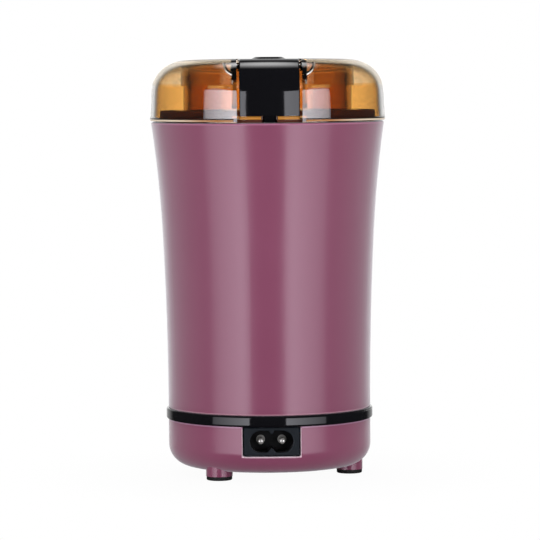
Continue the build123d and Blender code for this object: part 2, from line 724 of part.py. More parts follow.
with BuildPart() as lid_dome:
    with BuildSketch(Plane.XY.offset(collar_bottom_z)):
        Circle(collar_radius)
        Circle(collar_radius - collar_wall, mode=Mode.SUBTRACT)
    extrude(amount=lid_top_z - collar_bottom_z)
    with BuildSketch(Plane.XY.offset(channel_floor_z - channel_floor)):
        Circle(collar_radius + collar_step)
        Circle(collar_radius - collar_wall, mode=Mode.SUBTRACT)
    extrude(amount=channel_depth + channel_floor)
    with BuildSketch(Plane.XY.offset(channel_floor_z - channel_floor)):
        with Locations((0, channel_end + channel_wall)):
            Rectangle(2 * channel_outer, 2 * lid_radius, align=(Align.CENTER, Align.MAX))
        Circle(collar_radius, mode=Mode.INTERSECT)
    extrude(amount=lid_top_z - channel_floor_z)
    with BuildSketch(Plane.XY.offset(pocket_z)):
        with Locations((-channel_half - channel_wall / 2, 0), (channel_half + channel_wall / 2, 0)):
            Rectangle(channel_wall, lid_radius, align=(Align.CENTER, Align.MAX))
        Circle(collar_radius - collar_wall / 2, mode=Mode.SUBTRACT)
    extrude(amount=lid_top_z - pocket_z)
    with BuildSketch(Plane.XY.offset(shelf_z)):
        Rectangle(2 * (channel_half + shelf_width), lid_radius, align=(Align.CENTER, Align.MAX))
        Circle(collar_radius - collar_wall / 2, mode=Mode.SUBTRACT)
    extrude(amount=shelf_height)
    with BuildSketch(Plane.XZ):
        add(lid_filling)
    revolve(axis=Axis.Z, mode=Mode.INTERSECT)
    with BuildSketch(Plane.XZ):
        add(lid_outside)
        add(lid_inside, mode=Mode.SUBTRACT)
    revolve(axis=Axis.Z)
    with BuildSketch(Plane.XY.offset(lid_bottom_z)):
        Circle(lid_radius - rim_inset)
        Circle(spigot_radius - spigot_wall, mode=Mode.SUBTRACT)
    extrude(amount=rim_height)
    with BuildSketch(Plane.XY.offset(spigot_bottom_z)):
        Circle(spigot_radius)
        Circle(spigot_radius - spigot_wall, mode=Mode.SUBTRACT)
    extrude(amount=spigot_reach)
    with BuildSketch(Plane.XY.offset(channel_floor_z)):
        with Locations((0, channel_end)):
            Rectangle(2 * channel_half, 3 * lid_radius, align=(Align.CENTER, Align.MAX))
    extrude(amount=channel_depth + overrun, mode=Mode.SUBTRACT)
    with BuildSketch(Plane.XY.offset(spigot_bottom_z - overrun)):
        Rectangle(2 * channel_half, lid_radius + overrun, align=(Align.CENTER, Align.MAX))
        Circle(collar_radius, mode=Mode.SUBTRACT)
    extrude(amount=channel_floor_z - spigot_bottom_z + overrun, mode=Mode.SUBTRACT)
    with BuildSketch(Plane.XY.offset(lid_bottom_z + bar_rise)) as bars:
        Circle(bar_radius)
        Circle(bar_radius - bar_wall, mode=Mode.SUBTRACT)
        Rectangle(2 * channel_outer, lid_radius, align=(Align.CENTER, Align.MAX), mode=Mode.INTERSECT)
        Rectangle(bar_break, lid_radius, align=(Align.CENTER, Align.MAX), mode=Mode.SUBTRACT)
        fillet(bars.vertices().sort_by(Axis.Y)[:4], bar_round)
    extrude(amount=bar_height)
    with BuildSketch(Plane.XY.offset(channel_floor_z)):
        with Locations((0, -key_spring_place)):
            Circle(spring_peg_radius)
    extrude(amount=key_spring_peg_height)
    with BuildSketch(hinge_plane):
        Circle(hinge_pin_radius + bush_gap)
    extrude(amount=channel_half + hinge_pin_seat + slip, both=True, mode=Mode.SUBTRACT)
save(lid_dome, "lid_dome")

# Press key: a strip of the dome with a skirt, a hinge barrel, stiffening ribs, a thumb hump,
# and the tongue that reaches the push rod
key_top_z = lid_top_z - key_sink
key_end = hinge_set_back + key_tail
skirt_z = lid_bottom_z + skirt_rise
tongue_front = rod_place + tongue_depth / 2
tongue_back = rod_place - tongue_depth / 2
key_outside = dome_section(key_sink, rim_top_z)
key_inside = dome_section(key_sink + key_wall, rim_top_z)
key_middle = mirror(dome_section(key_sink + key_wall / 2, tongue_tip_z), about=Plane.YZ)

with BuildPart() as press_key:
    with BuildSketch(Plane.XY.offset(skirt_z)):
        with Locations((0, key_end)):
            Rectangle(key_width, 2 * lid_radius, align=(Align.CENTER, Align.MAX))
    extrude(amount=lid_height)
    with BuildSketch(Plane.XZ):
        add(key_outside)
        add(key_inside, mode=Mode.SUBTRACT)
    revolve(axis=Axis.Z, mode=Mode.INTERSECT)
    side_edges = press_key.edges().filter_by(lambda e: e.center().Z > skirt_z + key_wall)
    outer_edges = side_edges.filter_by(lambda e: abs(abs(e.center().X) - key_width / 2) < press_gap)
    top_edges = outer_edges.filter_by_position(Axis.Z, key_top_z - press_gap, key_top_z + press_gap)
    fillet(top_edges, key_edge)
    with BuildSketch(Plane.YZ):
        with BuildLine():
            Polyline(
                (-tongue_back, tongue_tip_z),
                (-tongue_front, tongue_tip_z),
                (-tongue_front, lid_bottom_z + bar_rise),
                (-tongue_heel, lid_bottom_z + bar_rise),
                (-tongue_heel, skirt_z + key_wall / 2),
                (-lid_radius, skirt_z + key_wall / 2),
                (-lid_radius, lid_top_z),
                (-tongue_back, lid_top_z),
                close=True,
            )
        make_face()
        add(key_middle, mode=Mode.INTERSECT)
    extrude(amount=tongue_width / 2, both=True)
    with BuildSketch(Plane.XY.offset(key_under_z - key_rib_height)):
        with Locations((0, hinge_set_back)):
            with GridLocations(2 * key_rib_place, 0, 2, 1):
                rib_length = hinge_set_back + tongue_back - key_wall
                Rectangle(key_rib_wall, rib_length, align=(Align.CENTER, Align.MAX))
    extrude(amount=key_rib_height + key_wall / 2)
    with BuildSketch(hinge_plane):
        Circle(barrel_radius)
    extrude(amount=key_width / 2, both=True)
    with BuildSketch(Plane.XY.offset(key_under_z - key_spring_peg_height)):
        with Locations((0, -key_spring_place)):
            Circle(spring_peg_radius)
    extrude(amount=key_spring_peg_height)
    for rise, slope in ((0, hump_slope), (hump_height, 0)):
        with BuildSketch(Plane.XY.offset(key_top_z + rise)):
            with Locations((0, -hump_place)):
                RectangleRounded(hump_width + 2 * slope, hump_length + 2 * slope, hump_round)
    loft()
    with BuildSketch(hinge_plane):
        Circle(hinge_pin_radius + bush_gap)
    extrude(amount=key_width, both=True, mode=Mode.SUBTRACT)
save(press_key, "press_key")

with BuildPart() as hinge_pin:
    with BuildSketch(hinge_plane):
        Circle(hinge_pin_radius)
    extrude(amount=channel_half + hinge_pin_seat, both=True)
save(hinge_pin, "hinge_pin")

# Key spring, round its two pegs
spring_room = key_under_z - channel_floor_z - touch

with BuildPart() as key_spring:
    with BuildLine(Plane.XY.offset(0)) as key_coil:
        coil(channel_floor_z, spring_room, key_spring_radius, key_spring_wire, key_spring_turns)
    with BuildSketch(Plane(key_coil.line @ 0, z_dir=key_coil.line % 0)):
        Circle(key_spring_wire / 2)
    sweep(path=key_coil.line)
key_spring.part = key_spring.part.moved(Location((0, -key_spring_place, 0)))
print_coil_gap("key_spring", key_coil.line, key_spring_wire, key_spring_turns)
save(key_spring, "key_spring")

# Push rod: a headed stem through the carrier's shelf, with a foot over the switch's plunger
with BuildPart() as push_rod:
    with BuildSketch(Plane.XY.offset(rod_foot_z - rod_foot_height)):
        with Locations((0, -rod_place)):
            Circle(rod_radius)
    extrude(amount=rod_head_z - rod_foot_z + rod_foot_height)
    with BuildSketch(Plane.XY.offset(rod_head_z)):
        with Locations((0, -rod_place)):
            Circle(rod_head_radius)
    extrude(amount=rod_head_height)
    fillet(push_rod.edges().group_by(Axis.Z)[-1], rod_head_height / 4)
    with BuildSketch(Plane.XY.offset(rod_foot_z - rod_foot_height)):
        with Locations((0, -rod_place)):
            foot_length = rod_place - switch_middle + rod_radius
            Rectangle(rod_foot_width, foot_length, align=(Align.CENTER, Align.MIN))
    extrude(amount=rod_foot_height)
save(push_rod, "push_rod")

with BuildPart() as rod_spring:
    with BuildLine() as rod_coil:
        rod_spring_room = rod_head_z - rod_shelf_z
        coil(rod_shelf_z, rod_spring_room, rod_spring_radius, rod_spring_wire, rod_spring_turns)
    with BuildSketch(Plane(rod_coil.line @ 0, z_dir=rod_coil.line % 0)):
        Circle(rod_spring_wire / 2)
    sweep(path=rod_coil.line)
rod_spring.part = rod_spring.part.moved(Location((0, -rod_place, 0)))
print_coil_gap("rod_spring", rod_coil.line, rod_spring_wire, rod_spring_turns)
save(rod_spring, "rod_spring")

# Micro switch on its two bosses, with its plunger, terminals and screws
switch_front = switch_inner + switch_depth
terminal_places = [(-terminal_pitch / 2, -switch_middle), (terminal_pitch / 2, -switch_middle)]

with BuildPart() as micro_switch:
    with BuildSketch(Plane.XY.offset(switch_z)):
        with Locations((0, -switch_middle)):
            Rectangle(switch_width, switch_depth)
    extrude(amount=switch_height)
    fillet(micro_switch.edges().filter_by(Axis.Y), switch_round)
    with BuildSketch(Plane.XY.offset(switch_top_z - plunger_depth - slip)):
        with Locations((0, -switch_middle)):
            Circle(plunger_radius + slip)
    extrude(amount=plunger_depth + overrun, mode=Mode.SUBTRACT)
    with BuildSketch(Plane.XZ.offset(switch_inner - overrun)):
        with Locations((0, switch_screw_z)):
            with GridLocations(switch_screw_pitch, 0, 2, 1):
                Circle(switch_screw_radius + press_gap)
    extrude(amount=switch_depth + 2 * overrun, mode=Mode.SUBTRACT)
    with BuildSketch(Plane.XY.offset(switch_z)):
        with Locations(*terminal_places):
            Rectangle(terminal_width + 2 * press_gap, terminal_wall + 2 * press_gap)
    extrude(amount=terminal_seat, mode=Mode.SUBTRACT)
save(micro_switch, "micro_switch")

with BuildPart() as switch_plunger:
    with BuildSketch(Plane.XY.offset(switch_top_z + plunger_height - plunger_depth)):
        with Locations((0, -switch_middle)):
            Circle(plunger_radius)
    extrude(amount=plunger_depth)
save(switch_plunger, "switch_plunger")

with BuildPart() as switch_terminals:
    with BuildSketch(Plane.XY.offset(switch_z + terminal_seat - terminal_length)):
        with Locations(*terminal_places):
            Rectangle(terminal_width, terminal_wall)
    extrude(amount=terminal_length)
save(switch_terminals, "switch_terminals")

with BuildPart() as switch_screws:
    with BuildSketch(Plane.XZ.offset(switch_inner - switch_screw_grip)):
        with Locations((0, switch_screw_z)):
            with GridLocations(switch_screw_pitch, 0, 2, 1):
                Circle(switch_screw_radius)
    extrude(amount=switch_depth + switch_screw_grip)
    with BuildSketch(Plane.XZ.offset(switch_front)):
        with Locations((0, switch_screw_z)):
            with GridLocations(switch_screw_pitch, 0, 2, 1):
                Circle(switch_screw_head_radius)
    extrude(amount=switch_screw_head_height)
save(switch_screws, "switch_screws")

# Motor heights: the upper bracket hangs from the carrier, and the lower one ends above the base
upper_plate_z = carrier_floor_z - damper_height - upper_plate
upper_hub_z = upper_plate_z - upper_hub_drop
lower_plate_z = ring_top_z + motor_rise
motor_room = upper_plate_z - lower_plate_z - lower_plate
upper_column = motor_room * upper_column_share
stator_height = motor_room * stator_share
lower_column = motor_room - upper_column - stator_height
stator_top_z = upper_plate_z - upper_column
stator_z = stator_top_z - stator_height
coil_end = stator_height * coil_end_share
winding_height = stator_height * winding_share
winding_reach = winding_gap + winding_height
fan_height = upper_column - upper_hub_drop - 2 * fan_gap - winding_reach
fan_disc = fan_height * fan_disc_share
commutator_height = lower_column - lower_hub_rise - 2 * commutator_gap - winding_reach
brush_height = commutator_height * brush_share
lower_hub_top_z = lower_plate_z + lower_plate + lower_hub_rise
lower_hub_z = lower_plate_z - lower_hub_drop
shaft_bottom_z = lower_hub_z + lower_hub_floor + shaft_end_gap
commutator_z = lower_hub_top_z + commutator_gap
brush_z = commutator_z + (commutator_height - brush_height) / 2
column_places = [(0, -column_place), (0, column_place)]

# Rubber damper between carrier and motor, and the three screws through it
with BuildPart() as motor_damper:
    with BuildSketch(Plane.XY.offset(carrier_floor_z - damper_height)):
        Circle(damper_radius)
        Circle(damper_hole_radius, mode=Mode.SUBTRACT)
        with PolarLocations(bracket_screw_circle, foot_count, start_angle=foot_turn):
            Circle(bracket_screw_radius + slip, mode=Mode.SUBTRACT)
    extrude(amount=damper_height)
save(motor_damper, "motor_damper")

with BuildPart() as bracket_screws:
    with BuildSketch(Plane.XY.offset(upper_plate_z)):
        with PolarLocations(bracket_screw_circle, foot_count, start_angle=foot_turn):
            Circle(bracket_screw_radius)
    extrude(amount=carrier_inner_floor_z - bracket_screw_head_height - upper_plate_z)
    with BuildSketch(Plane.XY.offset(carrier_inner_floor_z - bracket_screw_head_height)):
        with PolarLocations(bracket_screw_circle, foot_count, start_angle=foot_turn):
            Circle(bracket_screw_head_radius)
    extrude(amount=bracket_screw_head_height)
save(bracket_screws, "bracket_screws")

# Upper bracket: plate, hub and two columns down to the stator
with BuildPart() as upper_bracket:
    with BuildSketch(Plane.XY.offset(upper_plate_z)):
        Circle(bracket_radius)
        with PolarLocations(bracket_window_circle, foot_count, start_angle=foot_turn + 180 / foot_count):
            Circle(bracket_window_radius, mode=Mode.SUBTRACT)
        with PolarLocations(bracket_screw_circle, foot_count, start_angle=foot_turn):
            Circle(bracket_screw_radius + press_gap, mode=Mode.SUBTRACT)
    extrude(amount=upper_plate)
    with BuildSketch(Plane.XY.offset(upper_hub_z)):
        Circle(hub_radius)
    extrude(amount=upper_hub_drop)
    with BuildSketch(Plane.XY.offset(stator_top_z)):
        with Locations(*column_places):
            Circle(column_radius)
    extrude(amount=upper_column)
    with BuildSketch(Plane.XY.offset(upper_hub_z)):
        Circle(bush_radius + press_gap)
    extrude(amount=upper_hub_drop + upper_plate, mode=Mode.SUBTRACT)
    with BuildSketch(Plane.XY.offset(stator_top_z)):
        with Locations(*column_places):
            Circle(bolt_radius + press_gap)
    extrude(amount=upper_column - bolt_tip_gap + slip, mode=Mode.SUBTRACT)
save(upper_bracket, "upper_bracket")

with BuildPart() as upper_bearing:
    with BuildSketch(Plane.XY.offset(upper_hub_z)):
        Circle(bush_radius)
        Circle(shaft_radius + bush_gap, mode=Mode.SUBTRACT)
    extrude(amount=upper_hub_drop + upper_plate)
save(upper_bearing, "upper_bearing")

# Stator: a round stack with two poles, each carrying a coil
window_inner = stator_bore + pole_tip
window_middle = window_inner + coil_window_depth / 2
pole_offset = pole_half_width + coil_window_width / 2

with BuildPart() as stator_core:
    with BuildSketch(Plane.XY.offset(stator_z)):
        Circle(stator_radius)
        Circle(stator_bore, mode=Mode.SUBTRACT)
        with GridLocations(2 * window_middle, 2 * pole_offset, 2, 2):
            Rectangle(coil_window_depth, coil_window_width, mode=Mode.SUBTRACT)
        with Locations(*column_places):
            Circle(bolt_radius + slip, mode=Mode.SUBTRACT)
    extrude(amount=stator_height)
save(stator_core, "stator_core")

coil_inner_width = 2 * (pole_half_width + coil_gap)
coil_outer_width = 2 * (pole_half_width + coil_window_width - coil_gap)
coil_inner_height = stator_height + 2 * coil_gap
for side, name in ((-1, "field_coil_left"), (1, "field_coil_right")):
    with BuildPart() as field_coil:
        with BuildSketch(Plane.YZ.offset(side * window_middle)):
            with Locations((0, stator_z + stator_height / 2)):
                RectangleRounded(coil_outer_width, stator_height + 2 * coil_end, coil_end * 0.9)
                Rectangle(coil_inner_width, coil_inner_height, mode=Mode.SUBTRACT)
        extrude(amount=coil_window_depth / 2 - coil_gap, both=True)
    save(field_coil, name)

# Lower bracket: plate, closed hub, two columns up to the stator, and the brush pedestals
holder_width = brush_width + 2 * (holder_wall + slip)
holder_height = brush_height + 2 * (holder_wall + slip)
holder_start = commutator_radius + holder_stand_off
holder_bottom_z = brush_z - slip - holder_wall

with BuildPart() as lower_bracket:
    with BuildSketch(Plane.XY.offset(lower_plate_z)):
        Circle(bracket_radius)
        with PolarLocations(bracket_window_circle, 4, start_angle=45):
            Circle(bracket_window_radius, mode=Mode.SUBTRACT)
    extrude(amount=lower_plate)
    with BuildSketch(Plane.XY.offset(lower_hub_z)):
        Circle(hub_radius)
    extrude(amount=lower_hub_top_z - lower_hub_z)
    with BuildSketch(Plane.XY.offset(lower_plate_z)):
        with Locations(*column_places):
            Circle(column_radius)
    extrude(amount=lower_plate + lower_column)
    with BuildSketch(Plane.XY.offset(lower_plate_z)):
        with GridLocations(2 * holder_start + holder_length, 0, 2, 1):
            Rectangle(holder_length - 2 * holder_wall, holder_width)
    extrude(amount=holder_bottom_z - lower_plate_z)
    with BuildSketch(Plane.XY.offset(lower_hub_z + lower_hub_floor)):
        Circle(bush_radius + press_gap)
    extrude(amount=lower_column, mode=Mode.SUBTRACT)
    with BuildSketch(Plane.XY.offset(lower_plate_z - overrun)):
        with Locations(*column_places):
            Circle(bolt_radius + slip)
    extrude(amount=lower_column + lower_plate + 2 * overrun, mode=Mode.SUBTRACT)
save(lower_bracket, "lower_bracket")

with BuildPart() as lower_bearing:
    with BuildSketch(Plane.XY.offset(lower_hub_z + lower_hub_floor)):
        Circle(bush_radius)
        Circle(shaft_radius + bush_gap, mode=Mode.SUBTRACT)
    extrude(amount=lower_hub_top_z - lower_hub_z - lower_hub_floor)
save(lower_bearing, "lower_bearing")

with BuildPart() as motor_bolts:
    with BuildSketch(Plane.XY.offset(lower_plate_z - bolt_head_height)):
        with Locations(*column_places):
            Circle(bolt_head_radius)
    extrude(amount=bolt_head_height)
    with BuildSketch(Plane.XY.offset(lower_plate_z)):
        with Locations(*column_places):
            Circle(bolt_radius)
    extrude(amount=upper_plate_z - bolt_tip_gap - lower_plate_z)
save(motor_bolts, "motor_bolts")

# Brush gear: on each side a box holder, a carbon brush and the leaf spring behind it
for side, hand in ((-1, "left"), (1, "right")):
    with BuildPart() as brush_holder:
        with BuildSketch(Plane.YZ.offset(side * (holder_start + holder_length / 2))):
            with Locations((0, brush_z + brush_height / 2)):
                Rectangle(holder_width, holder_height)
                Rectangle(brush_width + 2 * slip, brush_height + 2 * slip, mode=Mode.SUBTRACT)
        extrude(amount=holder_length / 2, both=True)
    save(brush_holder, f"brush_holder_{hand}")
    with BuildPart() as carbon_brush:
        with BuildSketch(Plane.XY.offset(brush_z)):
            with Locations((side * (commutator_radius + brush_length / 2), 0)):
                Rectangle(brush_length, brush_width)
            Circle(commutator_radius + brush_gap, mode=Mode.SUBTRACT)
        extrude(amount=brush_height)
    save(carbon_brush, f"carbon_brush_{hand}")
    with BuildPart() as brush_spring:
        spring_start = side * (commutator_radius + brush_length + touch)
        spring_end = side * (holder_start + holder_length)
        with BuildSketch(Plane.XZ):
            with BuildLine():
                middle = (spring_start + spring_end) / 2
                Polyline(
                    (spring_start, brush_z + brush_spring_wall),
                    (middle, brush_z + brush_height - brush_spring_wall),
                    (spring_end, brush_z + brush_spring_wall),
                )
                offset(amount=brush_spring_wall / 2, side=Side.BOTH)
            make_face()
        extrude(amount=brush_spring_reach / 2, both=True)
    save(brush_spring, f"brush_spring_{hand}")

# Rotor: shaft, slotted core, winding ends, commutator and fan
rotor_radius = stator_bore - rotor_gap
blade_hub_z = bowl_floor_z + seal_height + blade_hub_gap
blade_z = blade_hub_z + blade_hub_height
nut_z = blade_z + blade_wall
shaft_top_z = nut_z + nut_height + shaft_tip

with BuildPart() as motor_shaft:
    with BuildSketch(Plane.XY.offset(shaft_bottom_z)):
        Circle(shaft_radius)
    extrude(amount=shaft_top_z - shaft_bottom_z)
    chamfer(motor_shaft.edges().filter_by(GeomType.CIRCLE), shaft_radius / 8)
save(motor_shaft, "motor_shaft")

with BuildPart() as rotor_core:
    with BuildSketch(Plane.XY.offset(stator_z)):
        Circle(rotor_radius)
        with PolarLocations(rotor_radius - rotor_slot_depth / 2, rotor_slot_count):
            Rectangle(rotor_slot_depth, rotor_slot_width, mode=Mode.SUBTRACT)
        Circle(shaft_radius + press_gap, mode=Mode.SUBTRACT)
    extrude(amount=stator_height)
save(rotor_core, "rotor_core")

with BuildPart() as rotor_winding:
    for bottom_z in (stator_z - winding_gap - winding_height, stator_top_z + winding_gap):
        with BuildSketch(Plane.XY.offset(bottom_z)):
            Circle(rotor_radius * winding_outer_share)
            Circle(rotor_radius * winding_inner_share, mode=Mode.SUBTRACT)
        extrude(amount=winding_height)
    fillet(rotor_winding.edges().filter_by(GeomType.CIRCLE), winding_round)
save(rotor_winding, "rotor_winding")

with BuildPart() as commutator:
    with BuildSketch(Plane.XY.offset(commutator_z)):
        Circle(commutator_radius)
        with PolarLocations(commutator_radius, commutator_bar_count):
            Rectangle(2 * commutator_slit_depth, commutator_slit, mode=Mode.SUBTRACT)
        Circle(shaft_radius + press_gap, mode=Mode.SUBTRACT)
    extrude(amount=commutator_height)
save(commutator, "commutator")

fan_z = upper_hub_z - fan_gap - fan_height

with BuildPart() as cooling_fan:
    with BuildSketch(Plane.XY.offset(fan_z)):
        Circle(fan_radius)
    extrude(amount=fan_disc)
    with BuildSketch(Plane.XY.offset(fan_z)):
        Circle(fan_hub_radius)
    extrude(amount=fan_height)
    with BuildSketch(Plane.XY.offset(fan_z)):
        with PolarLocations((fan_radius + fan_hub_radius) / 2, fan_blade_count):
            Rectangle(fan_radius - fan_hub_radius, fan_blade_wall, rotation=fan_blade_lean)
        Circle(fan_radius, mode=Mode.INTERSECT)
    extrude(amount=fan_height)
    with BuildSketch(Plane.XY.offset(fan_z)):
        Circle(shaft_radius + press_gap)
    extrude(amount=fan_height, mode=Mode.SUBTRACT)
save(cooling_fan, "cooling_fan")

# Blade: a strip with lifted tips that narrow, on its hub, under a nut
with BuildPart() as blade_hub:
    with BuildSketch(Plane.XY.offset(blade_hub_z)):
        Circle(blade_hub_radius)
        Circle(shaft_radius + press_gap, mode=Mode.SUBTRACT)
    extrude(amount=blade_hub_height)
save(blade_hub, "blade_hub")

with BuildPart() as blade:
    with BuildSketch(Plane.XZ):
        with BuildLine():
            Polyline(
                (-blade_span, blade_z + blade_lift),
                (-blade_flat, blade_z),
                (blade_flat, blade_z),
                (blade_span, blade_z + blade_lift),
                (blade_span, blade_z + blade_lift + blade_wall),
                (blade_flat, blade_z + blade_wall),
                (-blade_flat, blade_z + blade_wall),
                (-blade_span, blade_z + blade_lift + blade_wall),
                close=True,
            )
        make_face()
    extrude(amount=blade_width, both=True)
    with BuildSketch(Plane.XY.offset(blade_z - overrun)):
        with BuildLine():
            half = blade_width / 2
            tip = half - blade_tip_width
            Polyline((-blade_span, -half), (-blade_flat, -half), (blade_flat, -half), (blade_span, tip))
            Polyline((blade_span, tip), (blade_span, half), (blade_flat, half), (-blade_flat, half))
            Polyline((-blade_flat, half), (-blade_span, -tip), (-blade_span, -half))
        make_face()
    extrude(amount=blade_lift + blade_wall + 2 * overrun, mode=Mode.INTERSECT)
    with BuildSketch(Plane.XY.offset(blade_z - overrun)):
        Circle(shaft_radius + press_gap)
    extrude(amount=blade_wall + 2 * overrun, mode=Mode.SUBTRACT)
save(blade, "blade")

with BuildPart() as blade_nut:
    with BuildSketch(Plane.XY.offset(nut_z)):
        RegularPolygon(nut_across / 2, 6, major_radius=False)
        Circle(shaft_radius + press_gap, mode=Mode.SUBTRACT)
    extrude(amount=nut_height)
save(blade_nut, "blade_nut")

# Leads inside the housing: from inlet to switch, from inlet to brush, and from coil to switch
def lead_route(start, end, shares):
    """Points of a lead from its start to its end."""
    rise = end[2] - start[2]
    between = [(x * body_radius, y * body_radius, start[2] + z * rise) for x, y, z in shares]
    return [start, *between, end]


def bend_radii(route):
    """Radius of the bend at each corner of a route."""
    radii = []
    for before, corner, after in zip(route, route[1:], route[2:]):
        run = Vector(*corner) - Vector(*before)
        next_run = Vector(*after) - Vector(*corner)
        half_turn = radians(run.get_angle(next_run)) / 2
        radii.append(lead_bend_share * min(run.length, next_run.length) / tan(half_turn))
    return radii


tail_end = inlet_depth + pin_tail + lead_end_gap - inlet_face
live_tail = (-pin_pitch / 2, tail_end, inlet_middle_z)
neutral_tail = (pin_pitch / 2, tail_end, inlet_middle_z)
terminal_end_z = switch_z + terminal_seat - terminal_length - lead_end_gap
live_terminal = (-terminal_pitch / 2, -switch_middle, terminal_end_z)
motor_terminal = (terminal_pitch / 2, -switch_middle, terminal_end_z)
brush_end = (holder_start + holder_length + lead_end_gap, 0, brush_z + brush_height / 2)
coil_tap = (window_middle, -coil_outer_width / 2 - lead_end_gap, stator_top_z + coil_end / 2)
lead_routes = {
    "lead_live": lead_route(live_tail, live_terminal, live_shares),
    "lead_neutral": lead_route(neutral_tail, brush_end, neutral_shares),
    "lead_motor": lead_route(coil_tap, motor_terminal, motor_shares),
}
for name, route in lead_routes.items():
    radii = bend_radii(route)
    with BuildPart() as lead:
        with BuildLine() as lead_path:
            FilletPolyline(*route, radius=radii)
        with BuildSketch(Plane(lead_path.line @ 0, z_dir=lead_path.line % 0)):
            Circle(lead_radius)
        sweep(path=lead_path.line)
    lead_length = sum(edge.length for edge in lead_path.edges())
    print(name, "bends", [round(radius, 1) for radius in radii])
    print(name, "volume", round(lead.part.volume), "of", round(pi * lead_radius**2 * lead_length))
    save(lead, name)
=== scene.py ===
# %% [markdown]
# # An electric coffee grinder
# The solids come from the CAD frame and keep their places. This lesson gives each of them its
# finish, adds the small forms that only show in a close look, among them strips and beads of
# painted light and shade on the lid's edges, and lights the grinder as in a plain product shot:
# white behind it, and two tall soft boxes in a dark room in front of it.

# %% Load the frame
import json
from math import cos, radians, sin

import bmesh
import bpy
from mathutils import Matrix, Vector


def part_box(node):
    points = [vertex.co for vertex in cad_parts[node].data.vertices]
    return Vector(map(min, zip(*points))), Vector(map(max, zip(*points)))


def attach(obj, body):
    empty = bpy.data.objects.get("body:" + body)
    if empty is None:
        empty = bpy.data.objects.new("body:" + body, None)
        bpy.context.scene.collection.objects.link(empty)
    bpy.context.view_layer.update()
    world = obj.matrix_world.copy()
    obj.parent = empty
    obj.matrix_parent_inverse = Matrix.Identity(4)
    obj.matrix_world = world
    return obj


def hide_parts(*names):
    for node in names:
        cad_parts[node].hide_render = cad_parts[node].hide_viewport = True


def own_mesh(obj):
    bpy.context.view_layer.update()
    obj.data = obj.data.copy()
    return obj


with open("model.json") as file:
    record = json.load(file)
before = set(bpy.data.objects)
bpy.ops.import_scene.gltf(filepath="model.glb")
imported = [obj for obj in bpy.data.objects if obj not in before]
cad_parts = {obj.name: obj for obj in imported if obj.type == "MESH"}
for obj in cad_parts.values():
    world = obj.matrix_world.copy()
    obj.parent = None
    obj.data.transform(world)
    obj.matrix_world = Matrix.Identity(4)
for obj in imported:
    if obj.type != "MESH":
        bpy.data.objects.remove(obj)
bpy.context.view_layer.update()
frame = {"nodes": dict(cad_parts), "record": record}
scene = bpy.context.scene
scene.view_settings.view_transform = "Standard"
print("frame with", len(frame["nodes"]), "pieces")

# %% [markdown]
# ## Camera
# The lid's top is seen edge-on and the table line lies low, so the camera stands far away, level
# with the lid, and looks a little down. A long lens keeps the sides of the body nearly parallel.
# The photo is tilted by less than half a degree, and the camera rolls by as much.

# %% Camera
view_distance = 1.333
view_height = 0.165
view_turn = radians(-1.1)
view_aim = Vector((0.0006, 0, 0.08325))
view_roll = radians(-0.4)

camera_data = bpy.data.cameras.new("photo_camera")
camera_data.lens = 216.6
camera_data.sensor_width = 36
camera_data.clip_end = 20
camera = bpy.data.objects.new("photo_camera", camera_data)
scene.collection.objects.link(camera)
camera.location = (view_distance * sin(view_turn), -view_distance * cos(view_turn), view_height)
look = (view_aim - camera.location).to_track_quat("-Z", "Y").to_matrix()
camera.rotation_euler = (look @ Matrix.Rotation(view_roll, 3, "Z")).to_euler()
scene.camera = camera
print("camera at", [round(v, 3) for v in camera.location])

# %% [markdown]
# ## Wiring nodes
# The world, the lamps and the finishes are small trees of nodes. They could be wired link by
# link, but the same few patterns come back all the time. So each helper here places one kind of
# node, feeds its inputs with numbers or with other nodes' outputs, and hands back its own output.

# %% Node helpers
def feed(tree, socket, value):
    """Give an input a value of its own, or a link from another node's output."""
    if isinstance(value, bpy.types.NodeSocket):
        tree.links.new(value, socket)
    else:
        socket.default_value = value


def math_node(tree, operation, *values):
    """One Math node; each value is an output or a number."""
    node = tree.nodes.new("ShaderNodeMath")
    node.operation = operation
    for socket, value in zip(node.inputs, values):
        feed(tree, socket, value)
    return node.outputs["Value"]


def mix_node(tree, kind, share, first, second):
    """One Mix node, for numbers (FLOAT) or colours (RGBA)."""
    node = tree.nodes.new("ShaderNodeMix")
    node.data_type = kind
    for name, value in (("Factor", share), ("A", first), ("B", second)):
        feed(tree, node.inputs[name], value)
    return node.outputs["Result"]


def ramp(tree, value, start, end, at_start=0.0, at_end=1.0, shape="SMOOTHSTEP"):
    """Goes from at_start to at_end while a value goes from start to end."""
    node = tree.nodes.new("ShaderNodeMapRange")
    node.interpolation_type = shape
    bounds = {"From Min": start, "From Max": end, "To Min": at_start, "To Max": at_end}
    for name, bound in bounds.items():
        node.inputs[name].default_value = bound
    tree.links.new(value, node.inputs["Value"])
    return node.outputs["Result"]


def axes(tree, vector):
    """The X, Y and Z of a vector, to be picked by name."""
    node = tree.nodes.new("ShaderNodeSeparateXYZ")
    tree.links.new(vector, node.inputs["Vector"])
    return node.outputs


def length_of(tree, vector):
    """How long a vector is."""
    node = tree.nodes.new("ShaderNodeVectorMath")
    node.operation = "LENGTH"
    tree.links.new(vector, node.inputs[0])
    return node.outputs["Value"]


def mix_shader(tree, share, first, second):
    """One Mix Shader node between two shaders."""
    node = tree.nodes.new("ShaderNodeMixShader")
    for socket, source in zip(node.inputs, (share, first, second)):
        tree.links.new(source, socket)
    return node.outputs["Shader"]


print("helpers", [helper.__name__ for helper in (math_node, mix_node, ramp, axes, length_of, mix_shader)])

